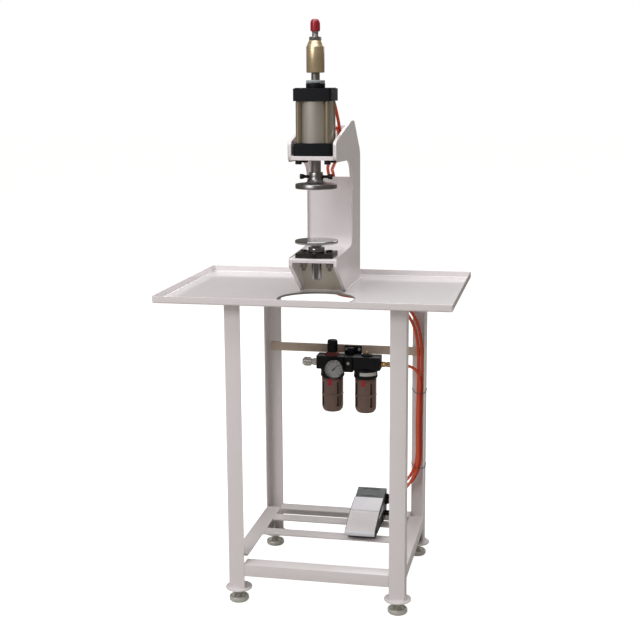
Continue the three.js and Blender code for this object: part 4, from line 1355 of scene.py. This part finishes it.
def gauge(front):
    """The pressure gauge: rim, dial, ticks, hub and lens on the press frame, and its needle."""
    span = Span("pressure_gauge")
    centre = (span.mid.x, front - 0.3, span.mid.z)
    bm = bmesh.new()
    turn(bm, [(9, 0), (24, 0), (25.2, 0.7), (25.5, 1.8), (25.5, 12.4), (25, 13.4), (24.2, 14), (23.4, 13.6),
              (23, 12.6), (22.9, 10), (9, 10)], centre, "-Y", 72, closed=True)
    piece("gauge_case", bm, "gauge_rim", replaced=["pressure_gauge"])
    bm = bmesh.new()
    turn(bm, [(0, 9.6), (22.95, 9.6), (22.95, 10.3), (0, 10.3)], centre, "-Y", 64)
    piece("gauge_face", bm, "dial_white")
    turned = (math.pi / 2, 0, 0)
    place = (centre[0], centre[1] - 10.4, centre[2])
    start, sweep = math.radians(-45), math.radians(270)
    ring_of_bars("gauge_minor_ticks", 51, 20.0, (2.2, 0.45, 0.12), place, turned, "dial_ink",
                 start=start, sweep=sweep * 51 / 50)
    ring_of_bars("gauge_major_ticks", 11, 18.8, (4.6, 1.1, 0.16), place, turned, "dial_ink",
                 start=start, sweep=sweep * 11 / 10)
    bm = bmesh.new()
    turn(bm, [(0, 13), (18, 13.05), (22.9, 12.8), (22.9, 12.3), (0, 12.6)], centre, "-Y", 64)
    piece("gauge_lens", bm, "lens")

    angle = math.radians(45)
    tip = Vector((math.cos(angle), 0, math.sin(angle)))
    side = Vector((-math.sin(angle), 0, math.cos(angle)))
    hub = Vector(centre) + Vector((0, -11.4, 0))
    bm = bmesh.new()
    shape = [tip * 18.5 + side * 0.45, tip * 18.5 - side * 0.45, tip * 2 - side * 1.2,
             tip * -7 - side * 1.9,
             tip * -7 + side * 1.9, tip * 2 + side * 1.2]
    half = Vector((0, 0.25, 0))
    slab(bm, [hub + p - half for p in shape], [hub + p + half for p in shape])
    turn(bm, [(0, -0.4), (2.4, -0.4), (2.4, 0.3), (1.9, 0.8), (0, 0.9)], hub, "-Y", 32)
    piece("needle", bm, "dial_ink", body="gauge_needle", replaced=["gauge_needle"])


def couplings(y):
    """Nickel quick coupler at the inlet and brass hose fitting at the outlet."""
    port = Span("quick_coupler")
    inlet = (port.high.x + 0.3, y, port.mid.z)
    bm = bmesh.new()
    turn(bm, [(8, 0.3), (8, 2), (10.5, 2.2, 9.1, 6), (10.5, 11.4, 9.1, 6), (9.4, 12), (8.2, 13), (8.2, 15),
              (9, 16),
              (9, 40.4), (8.5, 42), (5.2, 42), (5, 41.5), (5, 24), (0, 24)], inlet, "-X", 60)
    piece("coupler_socket_body", bm, "nickel", replaced=["quick_coupler"])
    bm = bmesh.new()
    turn(bm, [(9.4, 19.5), (11.8, 19.5), (12.6, 20.4), (12.6, 23.4), (11.9, 24), (11.9, 30.6), (12.7, 31.2),
              (12.7, 35.6), (11.5, 38), (9.4, 38)], inlet, "-X", 60, closed=True)
    piece("coupler_ring", bm, "nickel", body="coupler_sleeve", replaced=["coupler_sleeve"])
    ring_of_bars("coupler_ring_knurl", 36, 11.9, (0.9, 1.0, 6.2), (inlet[0] - 27.2, y, inlet[2]),
                 (0, -math.pi / 2, 0), "nickel", body="coupler_sleeve")
    out = Span("outlet_fitting")
    outlet = (out.low.x - 0.3, y, out.mid.z)
    hose = sizes().hose_radius / MM
    bm = bmesh.new()
    turn(bm, [(hose + 0.1, 0.3), (7, 0.3), (8, 0.6, 7, 6), (8, 11.5, 7, 6), (6.6, 12), (6, 13), (6, 15),
              (7.5, 16.4),
              (7.5, 28.4), (6.8, 29.4), (5.4, 30), (hose + 0.1, 30)], outlet, "+X", 60, closed=True)
    piece("outlet_barb", bm, "brass", replaced=["outlet_fitting"])


# ---------------------------------------------------------------- foot pedal valve
def build_pedal():
    body = Span("pedal_body")
    left, right = body.low.x, body.high.x
    floor = body.low.z
    deck = floor + 5
    bm = bmesh.new()
    rounded_block(bm, (left + 2, -8, floor), (right - 2, 185, deck), 5)
    side = rounded([(28, deck - 1), (28, 150, 2), (38, 163, 5), (50, 163.5), (121, 178), (121, deck - 1)])
    prism(bm, side, "YZ", left + 4, left + 8)
    prism(bm, side, "YZ", right - 8, right - 4)
    piece("pedal_base", bm, "pedal_grey", replaced=["pedal_body"], bevel=1.2, segments=3)
    (front_y, front_z), (rear_y, rear_z) = (120.2, 183.5), (177, 196)
    bm = bmesh.new()
    prism(bm, rounded([(front_y, floor + 0.4), (front_y, front_z, 1), (rear_y, rear_z, 6), (185, 190, 5),
                       (185, floor + 0.4)]), "YZ", left, right)
    piece("pedal_housing", bm, "pedal_grey", bevel=2.0, segments=3)
    bm = bmesh.new()
    slope = (rear_z - front_z) / (rear_y - front_y)

    def on_top(a, b, d):
        """A place on the housing's sloping top, raised by d."""
        return Vector((a, b, front_z + (b - front_y) * slope + d))

    raised = rectangle(left + 14, right - 14, 131, 168, 5)
    inner = rectangle(left + 16, right - 16, 133, 166, 4)
    pierced(bm, raised, [inner], on_top, -0.5, 0.9)
    piece("pedal_housing_panel", bm, "pedal_grey")

    bm = bmesh.new()
    top = rounded([(48.5, 170), (48.5, 173, 1.4), (119.7, 185.4, 0.8), (119.7, 182.3)])
    prism(bm, top, "YZ", left + 0.02, right - 0.02)
    skirt = [(48.5, 150), (48.5, 171.5), (119.7, 183.5), (119.7, 150)]
    prism(bm, skirt, "YZ", left + 0.02, left + 2)
    prism(bm, skirt, "YZ", right - 2, right - 0.02)
    piece("pedal_hood", bm, "cover_silver", replaced=["pedal_cover"], bevel=0.7)
    bm = bmesh.new()
    trim = rounded([(47.2, 160, 1), (47.2, 173.4, 1.4), (120, 186.3, 0.8), (120, 168)])
    for start in (left - 0.9, right + 0.05):
        prism(bm, trim, "YZ", start, start + 0.85)
    block(bm, (left + 1, 46.7, 163), (right - 1, 48.3, 172.2))
    piece("pedal_hood_trim", bm, "pedal_grey", bevel=0.25)

    bm = bmesh.new()
    plate = rounded([(-41, 133, 0.8), (-41, 143, 3.5), (46, 172.6, 0.8), (46, 168.4), (-37, 139.5, 1.5),
                     (-38, 133, 0.6)])
    prism(bm, plate, "YZ", left + 0.02, right - 0.02)
    lug = rounded([(38.5, 155, 1), (38.5, 167.5), (46, 170), (48, 160, 3), (48, 155, 1)])
    prism(bm, lug, "YZ", left + 10, left + 16)
    prism(bm, lug, "YZ", right - 16, right - 10)
    turn(bm, [(0, left + 2.6), (3, left + 2.6), (3, right - 2.6), (0, right - 2.6)], (0, 44, 160), "+X", 28)
    piece("treadle_plate", bm, "treadle_alloy", body="treadle", replaced=["pedal_treadle"],
          bevel=0.7)
    bm = bmesh.new()
    prism(bm, rounded([(-42, 134.2, 1.6), (-42, 143.2, 3.8), (-33.5, 146.6, 0.9), (-33.5, 137)]), "YZ",
          left - 0.6,
          right + 0.6)
    piece("treadle_lip", bm, "cover_silver", body="treadle", bevel=0.5)
    bm = bmesh.new()
    trim = rounded([(-33, 136, 1), (-33, 146.1), (46, 173.1, 0.8), (46, 162, 1)])
    for start in (left - 0.9, right + 0.05):
        prism(bm, trim, "YZ", start, start + 0.85)
    piece("treadle_trim", bm, "pedal_grey", body="treadle", bevel=0.25)
    rise = math.atan2(172.6 - 143, 46 + 41)
    bm = bmesh.new()
    prism(bm, rounded([(-0.9, -0.6), (-0.55, 0.55, 0.4), (0.55, 0.55, 0.4), (0.9, -0.6)], 2), "YZ",
          left + 7, right - 7)
    for vert in bm.verts:
        y, z = vert.co.y, vert.co.z
        vert.co.y = y * math.cos(rise) - z * math.sin(rise)
        vert.co.z = y * math.sin(rise) + z * math.cos(rise)
    count = sizes().tread_ribs
    spots = []
    for k in range(count):
        y = -30 + (36 + 30) * k / (count - 1)
        spots.append((0, y, 143 + (y + 41) * math.tan(rise) + 0.1))
    copied("treadle_ribs", bm, spots, "treadle_alloy", body="treadle")

    bm = bmesh.new()
    for y, z in ((184, 166), (170, 174), (156, 163)):
        port_fitting(bm, (right, y, z), "+X", 0.6)
    piece("pedal_fittings", bm, "black_nylon")
    bm = bmesh.new()
    for y in (128, 142):
        turn(bm, [(0, 0), (4.5, 0), (4.5, 0.1, 4.8, 6), (5.6, 0.6, 4.8, 6), (5.6, 5, 4.8, 6), (4.4, 5.4),
                  (4.4, 13), (5.4, 14),
                  (5.4, 18), (4.6, 19.5), (0, 19.5)], (right, y, 138), "+X", 36)
    piece("pedal_silencers", bm, "black_oxide")
    bm = bmesh.new()
    cap_screw(bm, (0, 0, deck), "+Z", 4.6, 3.2, 2.4, 4, tip=False)
    copied("pedal_screws", bm, [(left + 14, 4, 0), (right - 14, 4, 0)], "dull_zinc")


# ---------------------------------------------------------------- hoses
ROUTES = {
    "hose_press": [
        (36, -52.7, 1281), (36, -44, 1281), (37, -32, 1278), (41, -17, 1260), (47, -8, 1228),
        (52, 0, 1190), (50, 12, 1150), (41, 24, 1124), (28, 42, 1102), (19, 66, 1089), (16, 92, 1080),
        (16, 112, 1052), (17, 118, 1000), (17, 122, 880), (17, 124, 800), (24, 128, 768),
        (60, 148, 752), (125, 176, 742), (192, 192, 716), (226, 197, 672), (240, 197, 610),
        (243, 197, 517), (241, 197, 392), (239, 195, 262), (222, 192, 220), (198, 188, 196),
        (177, 185, 174), (162, 184, 166), (149.3, 184, 166)],
    "hose_return": [
        (24, -52.7, 1150), (24, -44, 1150), (25, -32, 1153), (29, -19, 1168), (36, -6, 1190),
        (44, 6, 1198), (46, 17, 1180), (38, 30, 1150), (23, 38, 1122), (11, 54, 1101), (5, 80, 1086),
        (5, 104, 1060), (6, 118, 1000), (7, 122, 880), (7, 124, 800), (14, 128, 757), (60, 148, 741),
        (125, 176, 730), (188, 192, 704), (216, 197, 664), (230, 197, 610), (233, 197, 517),
        (231, 197, 392), (229, 195, 268), (214, 190, 232), (192, 181, 206), (175, 172, 183),
        (162, 170, 174), (149.3, 170, 174)],
    "hose_supply": [
        (163.3, 170, 552), (184, 170, 552), (208, 175, 549), (228, 183, 536), (238, 186, 508),
        (237, 186, 450), (236, 186, 392), (234, 184, 262), (219, 176, 222), (196, 165, 192),
        (176, 157, 171), (162, 156, 163), (149.3, 156, 163)],
}


def through(points, steps=7):
    """A centripetal Catmull-Rom curve through the points."""
    points = [Vector(p) for p in points]
    points = [points[0] * 2 - points[1], *points, points[-1] * 2 - points[-2]]
    path = []
    for p0, p1, p2, p3 in zip(points, points[1:], points[2:], points[3:]):
        t1 = (p1 - p0).length ** 0.5
        t2 = t1 + (p2 - p1).length ** 0.5
        t3 = t2 + (p3 - p2).length ** 0.5
        for k in range(steps):
            t = t1 + (t2 - t1) * k / steps
            a1 = p0 * (t1 - t) / t1 + p1 * t / t1
            a2 = p1 * (t2 - t) / (t2 - t1) + p2 * (t - t1) / (t2 - t1)
            a3 = p2 * (t3 - t) / (t3 - t2) + p3 * (t - t2) / (t3 - t2)
            b1 = a1 * (t2 - t) / t2 + a2 * t / t2
            b2 = a2 * (t3 - t) / (t3 - t1) + a3 * (t - t1) / (t3 - t1)
            path.append(b1 * (t2 - t) / (t2 - t1) + b2 * (t - t1) / (t2 - t1))
    return path + [points[-2]]


def build_hoses():
    radius = sizes().hose_radius / MM
    for node, points in ROUTES.items():
        swept(f"{node}_tube", through(points), radius, "hose_pu", replaced=[node])
    for k, height in enumerate((476, 262)):
        x, y, _ = leg_corner("rear_right")
        loop = rounded([(x - LEG_WIDTH - 1.2, y - 5, 2), (x - LEG_WIDTH - 1.2, y + 1.2, 2),
                        (x + 1.2, y + 1.2, 2),
                        (x + 1.2, y - LEG_WIDTH - 1.2, 2), (x - 6, y - LEG_WIDTH - 1.2, 2),
                        (x - 30, y - 37.5, 8),
                        (x - 36, y - 24, 8)], 4)
        points = [(p.x, p.y, height + 4 * math.sin(0.08 * (p.x - p.y))) for p in loop]
        swept(f"hose_tie_{k}", points, 0.85, "tie_black", sides=10, closed=True)


# ---------------------------------------------------------------- stage, light and camera
AMBIENT = 0.3         # light from all round, as matt faces get it
MIRRORED = 0.16       # the same light, as shiny faces mirror it
FLOOR_GLOW = 0.88     # how bright the floor looks to the camera
LIGHTS = (            # name, place, target, size, power, tint
    ("key", (-1.5, -2.9, 2.6), (0, 0, 0.9), (1.8, 1.4), 50, (1, 0.975, 0.985)),
    ("back", (0.6, 3.0, 2.5), (0.1, 0, 0.4), (2.6, 1.6), 40, (0.97, 0.98, 1)),
    ("top", (-0.1, -0.5, 3.3), (0, 0, 1.0), (2.2, 2.2), 62, (0.97, 0.975, 1)),
)
EYE = (0.61746, -3.00255, 1.29716)
HEADING, TILT, ROLL = math.radians(11.67), math.radians(90 - 10.899), -0.0056


def build_stage():
    bm = bmesh.new()
    bmesh.ops.create_grid(bm, x_segments=1, y_segments=1, size=30)
    mesh = bpy.data.meshes.new("floor")
    bm.to_mesh(mesh)
    bm.free()
    floor = bpy.data.objects.new("floor", mesh)
    bpy.context.scene.collection.objects.link(floor)
    pale = bpy.data.materials.new("pale_floor")
    pale.use_nodes = True
    nodes = pale.node_tree.nodes
    matt = nodes["Principled BSDF"]
    matt.inputs["Base Color"].default_value = (0.5, 0.49, 0.47, 1)
    matt.inputs["Roughness"].default_value = 1.0
    matt.inputs["Specular IOR Level"].default_value = 0.0
    matt.inputs["Emission Color"].default_value = (1, 1, 1, 1)
    seen = add(pale.node_tree, "ShaderNodeLightPath").outputs["Is Camera Ray"]
    lift = add(pale.node_tree, "ShaderNodeMath", {"operation": "MULTIPLY"}, i0=seen, i1=FLOOR_GLOW)
    pale.node_tree.links.new(lift.outputs[0], matt.inputs["Emission Strength"])
    mesh.materials.append(pale)

    world = bpy.data.worlds.new("studio")
    world.use_nodes = True
    tree = world.node_tree
    back = tree.nodes["Background"]
    path = add(tree, "ShaderNodeLightPath").outputs
    dim = add(tree, "ShaderNodeMath", {"operation": "MULTIPLY_ADD"}, i0=path["Is Glossy Ray"],
              i1=MIRRORED - AMBIENT,
              i2=AMBIENT)
    level = add(tree, "ShaderNodeMath", {"operation": "MULTIPLY_ADD"}, i0=path["Is Camera Ray"],
                i1=1.0 - AMBIENT,
                i2=dim.outputs[0])
    tree.links.new(level.outputs[0], back.inputs["Strength"])
    tint = add(tree, "ShaderNodeMix", {"data_type": "RGBA"}, i0=path["Is Camera Ray"],
               i6=(1, 0.93, 0.83, 1),
               i7=(1, 1, 1, 1))
    tree.links.new(tint.outputs[2], back.inputs["Color"])
    scene = bpy.context.scene
    scene.world = world
    scene.view_settings.view_transform = "Standard"

    for name, place, target, size, power, tint in LIGHTS:
        lamp = bpy.data.lights.new(name, "AREA")
        lamp.shape = "RECTANGLE"
        lamp.size, lamp.size_y = size
        lamp.energy = power
        lamp.color = tint
        made = bpy.data.objects.new(name, lamp)
        made.location = place
        made.rotation_euler = (Vector(target) - Vector(place)).to_track_quat("-Z", "Y").to_euler()
        scene.collection.objects.link(made)

    camera = bpy.data.cameras.new("camera")
    camera.sensor_width = 36
    camera.lens = 67.42
    camera.shift_x = 0.0005
    camera.shift_y = -0.0019
    camera.clip_end = 100
    viewer = bpy.data.objects.new("camera", camera)
    turned = Matrix.Rotation(HEADING, 4, "Z") @ Matrix.Rotation(TILT, 4, "X") @ Matrix.Rotation(ROLL, 4,
                                                                                                "Z")
    viewer.matrix_world = Matrix.Translation(EYE) @ turned
    scene.collection.objects.link(viewer)
    scene.camera = viewer


OPERATORS = [
    part_operator("tray", "Tray", "Builds the folded tray, its mouth edge and the hose grommet",
                  build_tray),
    part_operator("stand", "Stand", "Builds the legs, levelling feet, rails and bars", build_stand),
    part_operator("frame", "Press frame", "Builds the folded C-shaped frame and its welds", build_frame),
    part_operator("cylinder", "Air cylinder", "Builds the heads, barrel, tie bars and bumper",
                  build_cylinder),
    part_operator("ram", "Ram", "Builds the ram, stroke sleeve, lock nut, cap and upper die", build_ram),
    part_operator("lower_die", "Lower die", "Builds the lower die, its rest and fixings", build_lower_die),
    part_operator("air_unit", "Air unit", "Builds the filter regulator, lubricator and gauge",
                  build_air_unit),
    part_operator("pedal", "Foot pedal", "Builds the foot pedal valve and its treadle", build_pedal),
    part_operator("hoses", "Hoses", "Builds the three air hoses and their ties", build_hoses),
    part_operator("stage", "Stage", "Builds the floor, lights and camera", build_stage),
]


class SNAPPRESS_PT_builder(bpy.types.Panel):
    """Lists the press's pieces and its settings."""

    bl_label = "Snap setting press"
    bl_idname = "SNAPPRESS_PT_builder"
    bl_space_type = "VIEW_3D"
    bl_region_type = "UI"
    bl_category = "Press"

    def draw(self, context):
        for operator in OPERATORS:
            self.layout.operator(operator.bl_idname)
        for settings in (context.scene.snap_press_sizes, context.scene.snap_press_colours):
            for key in settings.bl_rna.properties.keys():
                if key not in {"rna_type", "name"}:
                    self.layout.prop(settings, key)


CLASSES = [SNAPPRESS_PG_sizes, SNAPPRESS_PG_colours, *OPERATORS, SNAPPRESS_PT_builder]


def register():
    for made in CLASSES:
        bpy.utils.register_class(made)
    bpy.types.Scene.snap_press_sizes = PointerProperty(type=SNAPPRESS_PG_sizes)
    bpy.types.Scene.snap_press_colours = PointerProperty(type=SNAPPRESS_PG_colours)


def unregister():
    del bpy.types.Scene.snap_press_colours
    del bpy.types.Scene.snap_press_sizes
    for made in reversed(CLASSES):
        bpy.utils.unregister_class(made)


def main():
    register()
    for operator in OPERATORS:
        group_name, call = operator.bl_idname.split(".")
        getattr(getattr(bpy.ops, group_name), call)()


if __name__ == "__main__":
    main()
